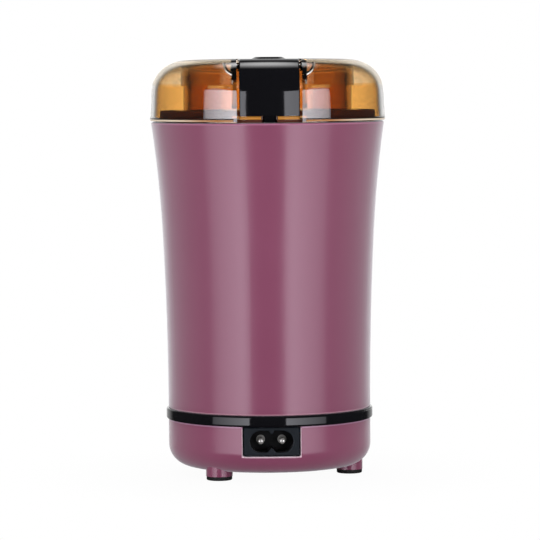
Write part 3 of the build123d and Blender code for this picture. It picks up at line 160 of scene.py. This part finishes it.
# %% [markdown]
# ## White stage
# The photo's background is pure white, yet the gloss black pieces stay dark in front: the room
# before the grinder is dark and only the two soft boxes shine in it. A plain white world would
# wash these pieces out, so the world asks what kind of ray looks at it. A ray that is mirrored or
# passes through the lid finds white behind the grinder, and dark in front, at the sides and below
# the table. Matt surfaces get an even light from all round, and for rays straight from the camera
# the world is plain white.

# %% Stage: the world
# A ray's direction has a Y of 1 straight to the back and a Z of -1 straight down.
matt_strength = 0.88
front_strength, back_strength, middle_strength = 0.04, 0.72, 0.85
back_start, back_full = 0.72, 0.90
middle_start, middle_full = 0.93, 0.99
table_dark, table_clear, table_share = -0.40, -0.10, 0.05

world = bpy.data.worlds.new("white_room")
scene.world = world
world.use_nodes = True
tree = world.node_tree
tree.nodes.clear()
place = tree.nodes.new("ShaderNodeTexCoord")
direction = axes(tree, place.outputs["Generated"])
back = ramp(tree, direction["Y"], back_start, back_full, front_strength, back_strength)
middle = ramp(tree, direction["Y"], middle_start, middle_full, 0.0, middle_strength)
above_table = ramp(tree, direction["Z"], table_dark, table_clear, table_share)
backdrop = math_node(tree, "MULTIPLY", math_node(tree, "ADD", back, middle), above_table)
path = tree.nodes.new("ShaderNodeLightPath")
mirrored = math_node(tree, "MAXIMUM", path.outputs["Is Glossy Ray"], path.outputs["Is Transmission Ray"])
room = tree.nodes.new("ShaderNodeBackground")
tree.links.new(mix_node(tree, "FLOAT", mirrored, matt_strength, backdrop), room.inputs["Strength"])
plain = tree.nodes.new("ShaderNodeBackground")
plain.inputs["Color"].default_value = (1, 1, 1, 1)
sky = mix_shader(tree, path.outputs["Is Camera Ray"], room.outputs["Background"],
                 plain.outputs["Background"])
world_out = tree.nodes.new("ShaderNodeOutputWorld")
tree.links.new(sky, world_out.inputs["Surface"])
print("world", world.name)

# %% [markdown]
# The floor is a pale disc. Near the grinder it takes a soft contact shadow; further out it fades
# into plain white, so that no edge shows. Gloss surfaces don't see it, as if the grinder stood
# at the edge of its table.

# %% Stage: the floor's paint
shadow_near, shadow_far = 0.04, 0.12
white_in_shadow = 0.96

floor_paint = bpy.data.materials.new("floor_white")
floor_paint.use_nodes = True
tree = floor_paint.node_tree
pale = tree.nodes["Principled BSDF"]
pale.inputs["Base Color"].default_value = (0.86, 0.86, 0.86, 1)
pale.inputs["Roughness"].default_value = 0.8
glow = tree.nodes.new("ShaderNodeEmission")
glow.inputs["Color"].default_value = (1, 1, 1, 1)
glow.inputs["Strength"].default_value = 1.0
place = tree.nodes.new("ShaderNodeTexCoord")
from_axis = length_of(tree, place.outputs["Object"])
path = tree.nodes.new("ShaderNodeLightPath")
seen = math_node(tree, "MAXIMUM", path.outputs["Is Camera Ray"], path.outputs["Is Transmission Ray"])
white = math_node(tree, "MULTIPLY", seen, ramp(tree, from_axis, shadow_near, shadow_far, white_in_shadow))
ground = mix_shader(tree, white, pale.outputs["BSDF"], glow.outputs["Emission"])
tree.links.new(ground, tree.nodes["Material Output"].inputs["Surface"])
print("paint", floor_paint.name)

# %% Stage: the floor
def new_object(name, bm, finish):
    """Turn a bmesh into an object at the origin, with one finish."""
    mesh = bpy.data.meshes.new(name)
    bm.to_mesh(mesh)
    bm.free()
    mesh.materials.append(finish)
    made = bpy.data.objects.new(name, mesh)
    scene.collection.objects.link(made)
    return made


floor_radius, floor_drop = 0.9, 0.0001
bm = bmesh.new()
under_feet = Matrix.Translation((0, 0, -floor_drop))
bmesh.ops.create_circle(bm, cap_ends=True, segments=96, radius=floor_radius, matrix=under_feet)
floor = new_object("floor", bm, floor_paint)
floor.visible_glossy = False
print("floor laid,", floor_radius * 2, "m across")

# %% [markdown]
# ## Soft boxes
# The panels that shine on the key and on the lid's wall are the two soft boxes. Their places
# follow from the law of reflection: on a round wall a spot that is turned by an angle shows
# what lies at twice that angle. They start about a fifth of a right angle beside the camera and
# end at about seven tenths of it, and their top edge is low. Each is brightest beside the camera.

# %% Soft boxes
def area_lamp(name, shape, size, power):
    """An area lamp with a node tree of its own."""
    lamp = bpy.data.lights.new(name, "AREA")
    lamp.shape = shape
    lamp.size = size
    lamp.energy = power
    lamp.use_nodes = True
    made = bpy.data.objects.new(name, lamp)
    scene.collection.objects.link(made)
    return made


box_distance = 1.3
box_low, box_high = -0.35, 0.38
box_colour = (0.93, 0.93, 1.0)
dim, bright = 0.4, 1.35


def soft_box(name, turn, roll, width, power, left, right):
    """A standing soft box beside the camera, with its strength at its left and right edge."""
    box = area_lamp(name, "RECTANGLE", width, power)
    box.data.size_y = box_high - box_low
    box.data.color = box_colour
    tree = box.data.node_tree
    place = tree.nodes.new("ShaderNodeNewGeometry")
    sideways = axes(tree, place.outputs["Parametric"])["X"]
    fall = ramp(tree, sideways, 0.0, 1.0, left, right, "LINEAR")
    tree.links.new(fall, tree.nodes["Emission"].inputs["Strength"])
    middle = (box_low + box_high) / 2
    box.location = (box_distance * sin(turn), -box_distance * cos(turn), middle)
    facing = (Vector((0, 0, middle)) - box.location).to_track_quat("-Z", "Y").to_matrix()
    box.rotation_euler = (facing @ Matrix.Rotation(roll, 3, "Z")).to_euler()


soft_box("soft_box_left", turn=radians(-44), roll=radians(-5), width=1.02, power=6.9,
         left=dim, right=bright)
soft_box("soft_box_right", turn=radians(39.5), roll=radians(7), width=1.11, power=7.5,
         left=bright, right=dim)
print("soft boxes at", box_distance, "m")

# %% [markdown]
# A broad lamp overhead lights the lid's top. It fades from its middle to its rim, because a lamp
# with a hard edge would show as a disc in the lid.

# %% Overhead lamp
fade_start, fade_end, middle_share = 0.02, 0.42, 2.0

overhead = area_lamp("overhead", "DISK", size=1.6, power=17)
overhead.location = (0, 0.6, 1.6)
tree = overhead.data.node_tree
place = tree.nodes.new("ShaderNodeNewGeometry")
from_middle = tree.nodes.new("ShaderNodeVectorMath")
from_middle.operation = "DISTANCE"
from_middle.inputs[1].default_value = (0.5, 0.5, 0)
tree.links.new(place.outputs["Parametric"], from_middle.inputs[0])
fall = ramp(tree, from_middle.outputs["Value"], fade_start, fade_end, middle_share, 0.0)
tree.links.new(fall, tree.nodes["Emission"].inputs["Strength"])

# %% [markdown]
# ## Shared effect: moulded skin
# Moulded plastic is never quite even. A fine grain breaks up the shine, and the shade and the
# roughness drift slowly over the surface. Each finish could have these nodes of its own; instead
# all moulded finishes share one node group, which puts out a roughness, a shade and a normal, and
# each gives it values of its own.

# %% Node group: moulded skin
grain_depth = 0.00005
cloud_scale = 45

moulded_skin = bpy.data.node_groups.new("moulded_skin", "ShaderNodeTree")
sockets = moulded_skin.interface
skin_inputs = {"Roughness": 0.4, "Drift": 0.05, "Grain Scale": 2500.0, "Grain Strength": 0.05}
for name, value in skin_inputs.items():
    socket = sockets.new_socket(name=name, in_out="INPUT", socket_type="NodeSocketFloat")
    socket.default_value = value
skin_outputs = {"Roughness": "NodeSocketFloat", "Shade": "NodeSocketFloat", "Normal": "NodeSocketVector"}
for name, kind in skin_outputs.items():
    sockets.new_socket(name=name, in_out="OUTPUT", socket_type=kind)

nodes, links = moulded_skin.nodes, moulded_skin.links
group_in = nodes.new("NodeGroupInput")
group_out = nodes.new("NodeGroupOutput")
place = nodes.new("ShaderNodeTexCoord")
clouds = nodes.new("ShaderNodeTexNoise")
clouds.inputs["Scale"].default_value = cloud_scale
clouds.inputs["Detail"].default_value = 3
grain = nodes.new("ShaderNodeTexNoise")
grain.inputs["Detail"].default_value = 2
bump = nodes.new("ShaderNodeBump")
bump.inputs["Distance"].default_value = grain_depth
links.new(place.outputs["Object"], clouds.inputs["Vector"])
links.new(place.outputs["Object"], grain.inputs["Vector"])
links.new(group_in.outputs["Grain Scale"], grain.inputs["Scale"])
links.new(group_in.outputs["Grain Strength"], bump.inputs["Strength"])
links.new(grain.outputs["Fac"], bump.inputs["Height"])
around_zero = math_node(moulded_skin, "SUBTRACT", clouds.outputs["Fac"], 0.5)
drifting = math_node(moulded_skin, "MULTIPLY_ADD", around_zero, group_in.outputs["Drift"],
                     group_in.outputs["Roughness"])
links.new(drifting, group_out.inputs["Roughness"])
links.new(clouds.outputs["Fac"], group_out.inputs["Shade"])
links.new(bump.outputs["Normal"], group_out.inputs["Normal"])
print("group", moulded_skin.name)

# %% [markdown]
# ## Finishes
# Each finish is one material: a Principled shader fed by the shared group. Two close colours
# are mixed by the slow clouds, so that no surface is one flat colour. What is the same all over a
# surface, such as its sheen, is set on the shader itself.

# %% Moulded finishes
def moulded(name, dark, light, roughness, drift=0.06, grain=2500.0, strength=0.05, **plain_values):
    """A moulded plastic or rubber finish on the shared skin."""
    finish = bpy.data.materials.new(name)
    finish.use_nodes = True
    tree = finish.node_tree
    shader = tree.nodes["Principled BSDF"]
    skin = tree.nodes.new("ShaderNodeGroup")
    skin.node_tree = moulded_skin
    skin.inputs["Roughness"].default_value = roughness
    skin.inputs["Drift"].default_value = drift
    skin.inputs["Grain Scale"].default_value = grain
    skin.inputs["Grain Strength"].default_value = strength
    shades = mix_node(tree, "RGBA", skin.outputs["Shade"], (*dark, 1), (*light, 1))
    tree.links.new(shades, shader.inputs["Base Color"])
    tree.links.new(skin.outputs["Roughness"], shader.inputs["Roughness"])
    tree.links.new(skin.outputs["Normal"], shader.inputs["Normal"])
    for socket, value in plain_values.items():
        shader.inputs[socket.replace("_", " ")].default_value = value
    return finish


lacquer = dict(roughness=0.24, drift=0.04, strength=0.02, Specular_IOR_Level=0.68,
               Sheen_Roughness=0.46, Sheen_Tint=(0.95, 0.96, 1.0, 1))
mauve = moulded("mauve_satin", (0.238, 0.052, 0.112), (0.256, 0.058, 0.122), **lacquer, Sheen_Weight=1.0)
base_mauve = moulded("mauve_base", (0.250, 0.054, 0.117), (0.268, 0.060, 0.127), **lacquer,
                     Sheen_Weight=0.7)
gloss_black = moulded("gloss_black", (0.004, 0.004, 0.005), (0.006, 0.006, 0.008), roughness=0.07,
                      drift=0.03, grain=1800.0, strength=0.01)
satin_black = moulded("satin_black", (0.008, 0.011, 0.015), (0.012, 0.016, 0.021), roughness=0.38)
# Painted light: the neck is black; this brown stands in for the amber light that reaches it through the
# lid.
neck_painted_light = moulded("neck_painted_light", (0.15, 0.044, 0.024), (0.17, 0.052, 0.030), roughness=0.6,
                     Specular_IOR_Level=0.15)
inlet_black = moulded("inlet_black", (0.010, 0.014, 0.019), (0.014, 0.019, 0.025), roughness=0.4,
                      Specular_IOR_Level=0.3)
rubber = moulded("foot_rubber", (0.010, 0.010, 0.010), (0.018, 0.018, 0.018), roughness=0.75, strength=0.2)
white_plastic = moulded("white_nylon", (0.62, 0.61, 0.57), (0.70, 0.69, 0.65), roughness=0.45)
carbon = moulded("pressed_carbon", (0.012, 0.012, 0.013), (0.03, 0.03, 0.032), roughness=0.6, strength=0.2)
brown_cover = moulded("brown_wire_cover", (0.07, 0.022, 0.010), (0.10, 0.032, 0.014), roughness=0.45)
blue_cover = moulded("blue_wire_cover", (0.015, 0.05, 0.20), (0.02, 0.07, 0.26), roughness=0.45)
print("moulded finishes from", mauve.name, "to", blue_cover.name)

# %% [markdown]
# Three of them get more colours by place. Along the rounded edge of the inlet's window, along the
# upper and lower edge of the body and along the top of the base a pale line is painted: a painted
# highlight, for the light that these edges catch. Past its upper edge the lip under the lid is
# painted dark: a painted shadow, for the shade in the gap under the lid. Down in the inlet's recess
# hardly any light comes back, so its walls are darker than its face. A mask from the Object
# coordinates is 1 at such a place, and lays the new colour over the old one.

# %% Masks and layers
def over(tree, value, bound):
    """1 where a value lies over a bound, else 0."""
    return math_node(tree, "GREATER_THAN", value, bound)


def under(tree, value, bound):
    """1 where a value lies under a bound, else 0."""
    return math_node(tree, "LESS_THAN", value, bound)


def both(tree, first, second):
    """A mask for where two masks meet."""
    return math_node(tree, "MULTIPLY", first, second)


def between(tree, value, low, high):
    """1 where a value lies between two bounds, else 0."""
    return both(tree, over(tree, value, low), under(tree, value, high))


def object_axes(tree):
    """The object coordinates, to be picked by X, Y and Z."""
    place = tree.nodes.new("ShaderNodeTexCoord")
    return axes(tree, place.outputs["Object"])


def overlay(finish, mask, colour):
    """Put one more colour on a finish, where a mask is 1."""
    tree = finish.node_tree
    target = tree.nodes["Principled BSDF"].inputs["Base Color"]
    below = target.links[0].from_socket
    tree.links.new(mix_node(tree, "RGBA", mask, below, (*colour, 1)), target)


print("mask helpers", [helper.__name__ for helper in (over, under, both, between, overlay)])

# %% Window edge and recess
socket_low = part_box("inlet_socket")[0]
window_half, window_front = 0.0116, -0.0365
sill_gap, face_depth = 0.0004, 0.0006
window_low = socket_low[2] - sill_gap
recess_start = socket_low[1] + face_depth
edge_width, edge_inside = 0.0004, 0.0002
window_painted_highlight, dark_recess = (0.80, 0.56, 0.64), (0.0015, 0.0015, 0.0018)

tree = base_mauve.node_tree
place = object_axes(tree)
sideways = math_node(tree, "ABSOLUTE", place["X"])
beside = between(tree, sideways, window_half - edge_inside, window_half + edge_width)
on_sides = both(tree, beside, over(tree, place["Z"], window_low - edge_width))
below = between(tree, place["Z"], window_low - edge_width, window_low + edge_inside)
on_sill = both(tree, below, under(tree, sideways, window_half + edge_width))
on_edge = math_node(tree, "MAXIMUM", on_sides, on_sill)
# Painted highlight: a pale line along the window's rounded edge, where the edge catches the light.
overlay(base_mauve, both(tree, on_edge, under(tree, place["Y"], window_front)), window_painted_highlight)

tree = inlet_black.node_tree
overlay(inlet_black, over(tree, object_axes(tree)["Y"], recess_start), dark_recess)
print("window edge at", round(window_half * 1000, 2), "mm")

# %% Edges of the body and of the base
body_low, body_top = (corner[2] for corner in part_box("body_shell"))
ring_height = 0.0045
base_top = body_low - ring_height
edge_low, edge_high, lip_drop = 0.0009, 0.0003, 0.0002
body_foot, base_edge = 0.0006, 0.0005
top_edge_painted_highlight, lip_painted_shadow = (0.44, 0.14, 0.25), (0.03, 0.008, 0.012)
foot_edge_painted_highlight, base_top_painted_highlight = (0.50, 0.22, 0.30), (0.42, 0.20, 0.32)

tree = mauve.node_tree
height = object_axes(tree)["Z"]
# Painted highlight: a pale line on the body's rounded top edge, where it catches the light.
overlay(mauve, between(tree, height, body_top - edge_low, body_top - edge_high), top_edge_painted_highlight)
# Painted shadow: above the lip's edge the body is painted dark, for the shade in the gap under the lid.
overlay(mauve, over(tree, height, body_top - lip_drop), lip_painted_shadow)
# Painted highlight: a pale line along the body's lower edge, above the ring.
overlay(mauve, under(tree, height, body_low + body_foot), foot_edge_painted_highlight)
tree = base_mauve.node_tree
# Painted highlight: a pale line along the base's top edge, below the ring.
overlay(base_mauve, over(tree, object_axes(tree)["Z"], base_top - base_edge), base_top_painted_highlight)
print("body from", round(body_low * 1000, 2), "to", round(body_top * 1000, 2), "mm")

# %% [markdown]
# Metal parts differ in how they were made: drawn and brushed steel has fine lines round the
# axis, plated pins are smooth, laminated iron has fine level lines and cast brackets are matt.
# One function makes them from a stretched noise that stands for these lines.

# %% Metal finishes
smooth_share, rough_share = 0.8, 1.2


def metal(name, dark, light, roughness, stretch=(400.0, 400.0, 400.0), strength=0.05, metallic=1.0):
    """A bare metal finish with fine lines: a large stretch packs the lines along that axis."""
    finish = bpy.data.materials.new(name)
    finish.use_nodes = True
    tree = finish.node_tree
    shader = tree.nodes["Principled BSDF"]
    shader.inputs["Metallic"].default_value = metallic
    place = tree.nodes.new("ShaderNodeTexCoord")
    stretched = tree.nodes.new("ShaderNodeMapping")
    stretched.inputs["Scale"].default_value = stretch
    noise = tree.nodes.new("ShaderNodeTexNoise")
    noise.inputs["Scale"].default_value = 4.0
    noise.inputs["Detail"].default_value = 4.0
    lines = noise.outputs["Fac"]
    bump = tree.nodes.new("ShaderNodeBump")
    bump.inputs["Strength"].default_value = strength
    bump.inputs["Distance"].default_value = grain_depth
    tree.links.new(place.outputs["Object"], stretched.inputs["Vector"])
    tree.links.new(stretched.outputs["Vector"], noise.inputs["Vector"])
    tree.links.new(lines, bump.inputs["Height"])
    shades = mix_node(tree, "RGBA", lines, (*dark, 1), (*light, 1))
    rough = ramp(tree, lines, 0.0, 1.0, roughness * smooth_share, roughness * rough_share, "LINEAR")
    tree.links.new(shades, shader.inputs["Base Color"])
    tree.links.new(rough, shader.inputs["Roughness"])
    tree.links.new(bump.outputs["Normal"], shader.inputs["Normal"])
    return finish


nickel = metal("nickel_plate", (0.80, 0.78, 0.74), (0.88, 0.86, 0.82), roughness=0.10, metallic=0.65)
stainless = metal("brushed_stainless", (0.50, 0.50, 0.50), (0.62, 0.62, 0.62), roughness=0.26,
                  stretch=(60.0, 60.0, 900.0), strength=0.1)
zinc = metal("zinc_plate", (0.42, 0.43, 0.45), (0.55, 0.56, 0.57), roughness=0.32)
spring_steel = metal("spring_steel", (0.30, 0.30, 0.31), (0.40, 0.40, 0.41), roughness=0.28)
iron = metal("stacked_iron", (0.16, 0.16, 0.17), (0.30, 0.30, 0.31), roughness=0.42,
             stretch=(20.0, 20.0, 1500.0), strength=0.3)
diecast = metal("diecast", (0.38, 0.38, 0.40), (0.48, 0.48, 0.50), roughness=0.5,
                stretch=(250.0, 250.0, 250.0), strength=0.2)
copper = metal("enamelled_copper", (0.40, 0.12, 0.035), (0.60, 0.22, 0.07), roughness=0.3,
               stretch=(30.0, 30.0, 700.0), strength=0.3)
brass = metal("stamped_brass", (0.48, 0.32, 0.10), (0.60, 0.42, 0.15), roughness=0.3)
bronze = metal("sintered_bronze", (0.28, 0.16, 0.06), (0.38, 0.24, 0.10), roughness=0.55,
               stretch=(700.0, 700.0, 700.0), strength=0.2)
print("metal finishes from", nickel.name, "to", bronze.name)

# %% [markdown]
# ## Amber lid
# The lid is clear amber plastic. What is seen through it has crossed the inner face of the front
# wall and of the back wall, so these faces carry the colour. The outer face stays almost clear,
# because light that is thrown back inside the wall never crosses the inner face, and it leaves
# the pale edge that such lids show. Above the shoulder the colour is lighter: this is painted
# light, for the curved wall there, which bends brighter light towards the eye. The collar inside
# adds two more walls, which is why the middle of the lid is so much darker than its sides. Where
# an inner face is seen at a slant, light has come a long way through the plastic, and the colour
# turns deep brown.

# %% Amber finish
amber = moulded("amber_clear", (1.0, 0.47, 0.10), (1.0, 0.51, 0.12), roughness=0.01, drift=0.01,
                grain=900.0, strength=0.01, Transmission_Weight=1.0, IOR=1.5,
                Coat_Weight=1.0, Coat_IOR=1.7, Coat_Roughness=0.02)
print("finish", amber.name)

# %% Amber: where on the lid
lid_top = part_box("lid_dome")[1][2]
lid_bend, lid_wall, crown_radius = 0.014, 0.002, 0.034
collar_radius, collar_drop = 0.0362, 0.0035
pale_rise, top_skin = 0.0035, 0.0009
slant_start, slant_full = 0.70, 0.88
shoulder = lid_top - lid_bend
within_wall = lid_bend - lid_wall / 2

# The wall bends round a ring at the crown's radius and the shoulder's height, so a point's distance
# from that ring tells the outer face from the inner one.
tree = amber.node_tree
place = tree.nodes.new("ShaderNodeTexCoord")
flat = tree.nodes.new("ShaderNodeMapping")
flat.inputs["Scale"].default_value = (1, 1, 0)
tree.links.new(place.outputs["Object"], flat.inputs["Vector"])
across = length_of(tree, flat.outputs["Vector"])
height = axes(tree, place.outputs["Object"])["Z"]
past_crown = math_node(tree, "MAXIMUM", math_node(tree, "SUBTRACT", across, crown_radius), 0.0)
past_shoulder = math_node(tree, "MAXIMUM", math_node(tree, "SUBTRACT", height, shoulder), 0.0)
squares = [math_node(tree, "POWER", way, 2.0) for way in (past_crown, past_shoulder)]
from_bend = math_node(tree, "SQRT", math_node(tree, "ADD", *squares))
is_outer = both(tree, over(tree, from_bend, within_wall), under(tree, height, lid_top - top_skin))
is_high = over(tree, height, shoulder + pale_rise)
is_collar = both(tree, under(tree, across, collar_radius), under(tree, height, lid_top - collar_drop))
slant = tree.nodes.new("ShaderNodeLayerWeight")
at_a_slant = ramp(tree, slant.outputs["Facing"], slant_start, slant_full)
is_inner = math_node(tree, "SUBTRACT", 1.0, is_outer)
print("the lid's shoulder at", round(shoulder * 1000, 2), "mm")

# %% Amber: colours by place
shoulder_painted_light, collar_amber = (1.0, 0.76, 0.48), (0.70, 0.40, 0.17)
almost_clear, cream = (1.0, 0.98, 0.95), (1.0, 0.86, 0.66)
deep_brown = (0.05, 0.030, 0.015)
# Painted light: the lighter amber above the shoulder.
overlay(amber, is_high, shoulder_painted_light)
overlay(amber, is_collar, collar_amber)
overlay(amber, is_outer, almost_clear)
overlay(amber, both(tree, is_outer, is_high), cream)
overlay(amber, both(tree, at_a_slant, is_inner), deep_brown)
print("layers laid on", amber.name)

# %% [markdown]
# ## Dressing the solids
# Every solid of the frame takes the finish of its slot. The record's slot names say which is
# which, so one table is enough for all but three: the neck, which is black but is painted brown
# for the amber light that reaches it through the lid (painted light), and the base and the inlet,
# whose finishes carry painted highlights on the base's edges and painted shade in the recess.

# %% Finishes on the solids
finish_of_slot = {
    "mauve": mauve, "black_gloss": gloss_black, "black_satin": satin_black, "amber": amber,
    "rubber": rubber, "nickel": nickel, "stainless": stainless, "spring_steel": spring_steel,
    "zinc": zinc, "iron": iron, "diecast": diecast, "copper": copper, "brass": brass,
    "bronze": bronze, "carbon": carbon, "white_plastic": white_plastic,
    "lead_brown": brown_cover, "lead_blue": blue_cover,
}
for entry in frame["record"]["subparts"]:
    solid = frame["nodes"][entry["node"]]
    solid.data.materials.clear()
    solid.data.materials.append(finish_of_slot[entry["material_slot"]])
own_finish = {"bowl_carrier": neck_painted_light, "base_cup": base_mauve, "inlet_socket": inlet_black}
for node, finish in own_finish.items():
    frame["nodes"][node].data.materials[0] = finish
print("dressed", len(frame["nodes"]), "solids")

# %% [markdown]
# ## Light-catching edges of the lid
# Light that travels inside the lid's wall comes out at its edges: the rim at the bottom shows as
# a pale line with a dark line of shade above it, and the two bars under the key glow orange.
# Towards the key the pale line turns amber. A see-through wall can't show that by itself in a
# render, so each of these edges gets a thin moulded strip of its own, which carries painted light:
# a painted glow on the pale line and on the bars, and painted shade on the dark line. A strip is a
# small profile spun about the lid's axis.

# %% Finishes of the edges
amber_full, amber_none = 0.022, 0.040
rim_painted_glow_amber = (0.50, 0.21, 0.07)
rim_painted_glow = moulded("rim_painted_glow", (0.84, 0.68, 0.50), (0.90, 0.76, 0.58), roughness=0.2)
tree = rim_painted_glow.node_tree
sideways = math_node(tree, "ABSOLUTE", object_axes(tree)["X"])
# Painted glow: towards the key the pale line's glow turns amber.
overlay(rim_painted_glow, ramp(tree, sideways, amber_none, amber_full), rim_painted_glow_amber)
painted_shade_dark = moulded("painted_shade_dark", (0.030, 0.008, 0.004), (0.040, 0.012, 0.006), roughness=0.3)
bar_painted_glow = moulded("bar_painted_glow", (0.74, 0.29, 0.045), (0.84, 0.36, 0.065), roughness=0.2)
arc_painted_highlight = moulded("arc_painted_highlight", (0.88, 0.86, 0.83), (0.94, 0.92, 0.89), roughness=0.3)
print("edge finishes", [finish.name for finish in (rim_painted_glow, painted_shade_dark, bar_painted_glow, arc_painted_highlight)])

# %% Strips on the rim and on the bars
fewest_steps, step_turn = 12, radians(2)
merge_gap, level_face = 1e-7, 0.99


def spun_strip(name, profile, start, sweep, finish):
    """A closed profile of (radius, height) points spun about the grinder's axis."""
    bm = bmesh.new()
    first = Matrix.Rotation(start, 3, "Z")
    face = bm.faces.new([bm.verts.new(first @ Vector((r, 0, z))) for r, z in profile])
    steps = max(fewest_steps, round(sweep / step_turn))
    bmesh.ops.spin(bm, geom=[face, *face.edges, *face.verts], axis=(0, 0, 1), angle=sweep, steps=steps)
    bmesh.ops.remove_doubles(bm, verts=bm.verts, dist=merge_gap)
    bmesh.ops.recalc_face_normals(bm, faces=bm.faces)
    strip = new_object(name, bm, finish)
    for polygon in strip.data.polygons:
        polygon.use_smooth = abs(polygon.normal.z) < level_face
    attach(strip, "lid")


front = radians(-90)
lid_gap = 0.0004
lid_low = body_top + lid_gap
rim_radius = 0.04803
gap_turn = radians(17.5)
corner_out, corner_in = 0.7, 0.3
# Painted shade on the upper strip, the dark line; painted glow on the lower strip, the pale line.
for name, rise, tall, proud, finish in (("rim_painted_shade_strip", 0.00092, 0.00034, 0.00012, painted_shade_dark),
                                        ("rim_painted_glow_strip", 0.00006, 0.00076, 0.00020, rim_painted_glow)):
    low, high = lid_low + rise, lid_low + rise + tall
    corner_radius = rim_radius + proud * corner_out
    rim_profile = [(rim_radius, low), (corner_radius, low + proud * corner_in),
                   (rim_radius + proud, (low + high) / 2),
                   (corner_radius, high - proud * corner_in), (rim_radius, high)]
    spun_strip(name, rim_profile, front + gap_turn, radians(360) - 2 * gap_turn, finish)

bar_in, bar_out = 0.04527, 0.04537
bar_rise, bar_tall = 0.00088, 0.00134
bar_near, bar_far = radians(4.2), radians(15.6)
bar_low = lid_low + bar_rise
bar_high = bar_low + bar_tall
bar_profile = [(bar_in, bar_low), (bar_out, bar_low), (bar_out, bar_high), (bar_in, bar_high)]
# Painted glow: the orange light that comes out of the two bars under the key.
for name, turn in (("bar_painted_glow_left", -bar_far), ("bar_painted_glow_right", bar_near)):
    spun_strip(name, bar_profile, front + turn, bar_far - bar_near, bar_painted_glow)

# %% [markdown]
# Beside the key's upper end the edge of its channel is well rounded. Each rounding ends in a bright
# quarter arc on the lid's shoulder, with a dark one inside it: the light and shade of the rounding,
# laid on as a painted highlight and a painted shade. An arc is a thin round bead: a small circle
# spun about the channel's edge, then sheared so that it leans back with the shoulder.

# %% Arcs beside the key
channel_half, arc_drop, arc_sweep = 0.0131, 0.0018, radians(70)
arc_height = lid_top - arc_drop
lean, arc_front = 1.49, -0.0364
shear = Matrix.Identity(4)
shear[1][2] = lean
shear[1][3] = arc_front - lean * arc_height


def arc_bead(name, side, radius, thickness, finish):
    """A round bead that follows a quarter arc about the channel's left or right edge."""
    bm = bmesh.new()
    start = Matrix.Translation((side * (channel_half + radius), 0, arc_height))
    bmesh.ops.create_circle(bm, cap_ends=True, segments=10, radius=thickness / 2, matrix=start)
    centre = (side * channel_half, 0, arc_height)
    bmesh.ops.spin(bm, geom=[*bm.faces, *bm.edges, *bm.verts], cent=centre, axis=(0, 1, 0),
                   angle=side * arc_sweep, steps=16)
    bmesh.ops.transform(bm, matrix=shear, verts=bm.verts)
    bmesh.ops.recalc_face_normals(bm, faces=bm.faces)
    arc = new_object(name, bm, finish)
    arc.data.shade_smooth()
    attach(arc, "lid")


# Painted highlight on the bright beads and painted shade on the dark beads, for the rounded channel edge.
for side, way in ((-1, "left"), (1, "right")):
    arc_bead("painted_highlight_arc_" + way, side, radius=0.00505, thickness=0.00055, finish=arc_painted_highlight)
    arc_bead("painted_shade_arc_" + way, side, radius=0.00445, thickness=0.00065, finish=painted_shade_dark)

# %% [markdown]
# ## Springs that give way
# The spring under the key and the one round the push rod get shorter when the key is pressed. A
# wound wire takes the place of each: a small circle, spun with a little rise at every step.

# %% Springs
steps_in_turn = 24


def wound_spring(node, wire, turns, body):
    """A coil of round wire in the place of a CAD spring."""
    low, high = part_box(node)
    middle = Vector(((low[0] + high[0]) / 2, (low[1] + high[1]) / 2, 0))
    radius = (high[0] - low[0] - wire) / 2
    wire_start = Matrix.Translation(middle + Vector((radius, 0, low[2] + wire / 2)))
    upright = Matrix.Rotation(radians(90), 4, "X")
    steps = turns * steps_in_turn
    rise = Vector((0, 0, (high[2] - low[2] - wire) / steps))
    bm = bmesh.new()
    bmesh.ops.create_circle(bm, cap_ends=True, segments=12, radius=wire / 2, matrix=wire_start @ upright)
    bmesh.ops.spin(bm, geom=[*bm.faces, *bm.edges, *bm.verts], cent=middle, axis=(0, 0, 1), dvec=rise,
                   angle=radians(360 * turns), steps=steps)
    bmesh.ops.recalc_face_normals(bm, faces=bm.faces)
    spring = new_object(node + "_wire", bm, spring_steel)
    for polygon in spring.data.polygons:
        polygon.use_smooth = len(polygon.vertices) == 4
    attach(spring, body)
    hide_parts(node)
    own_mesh(spring)


wound_spring("key_spring", wire=0.0006, turns=4, body="lid")
wound_spring("rod_spring", wire=0.0004, turns=6, body="housing")
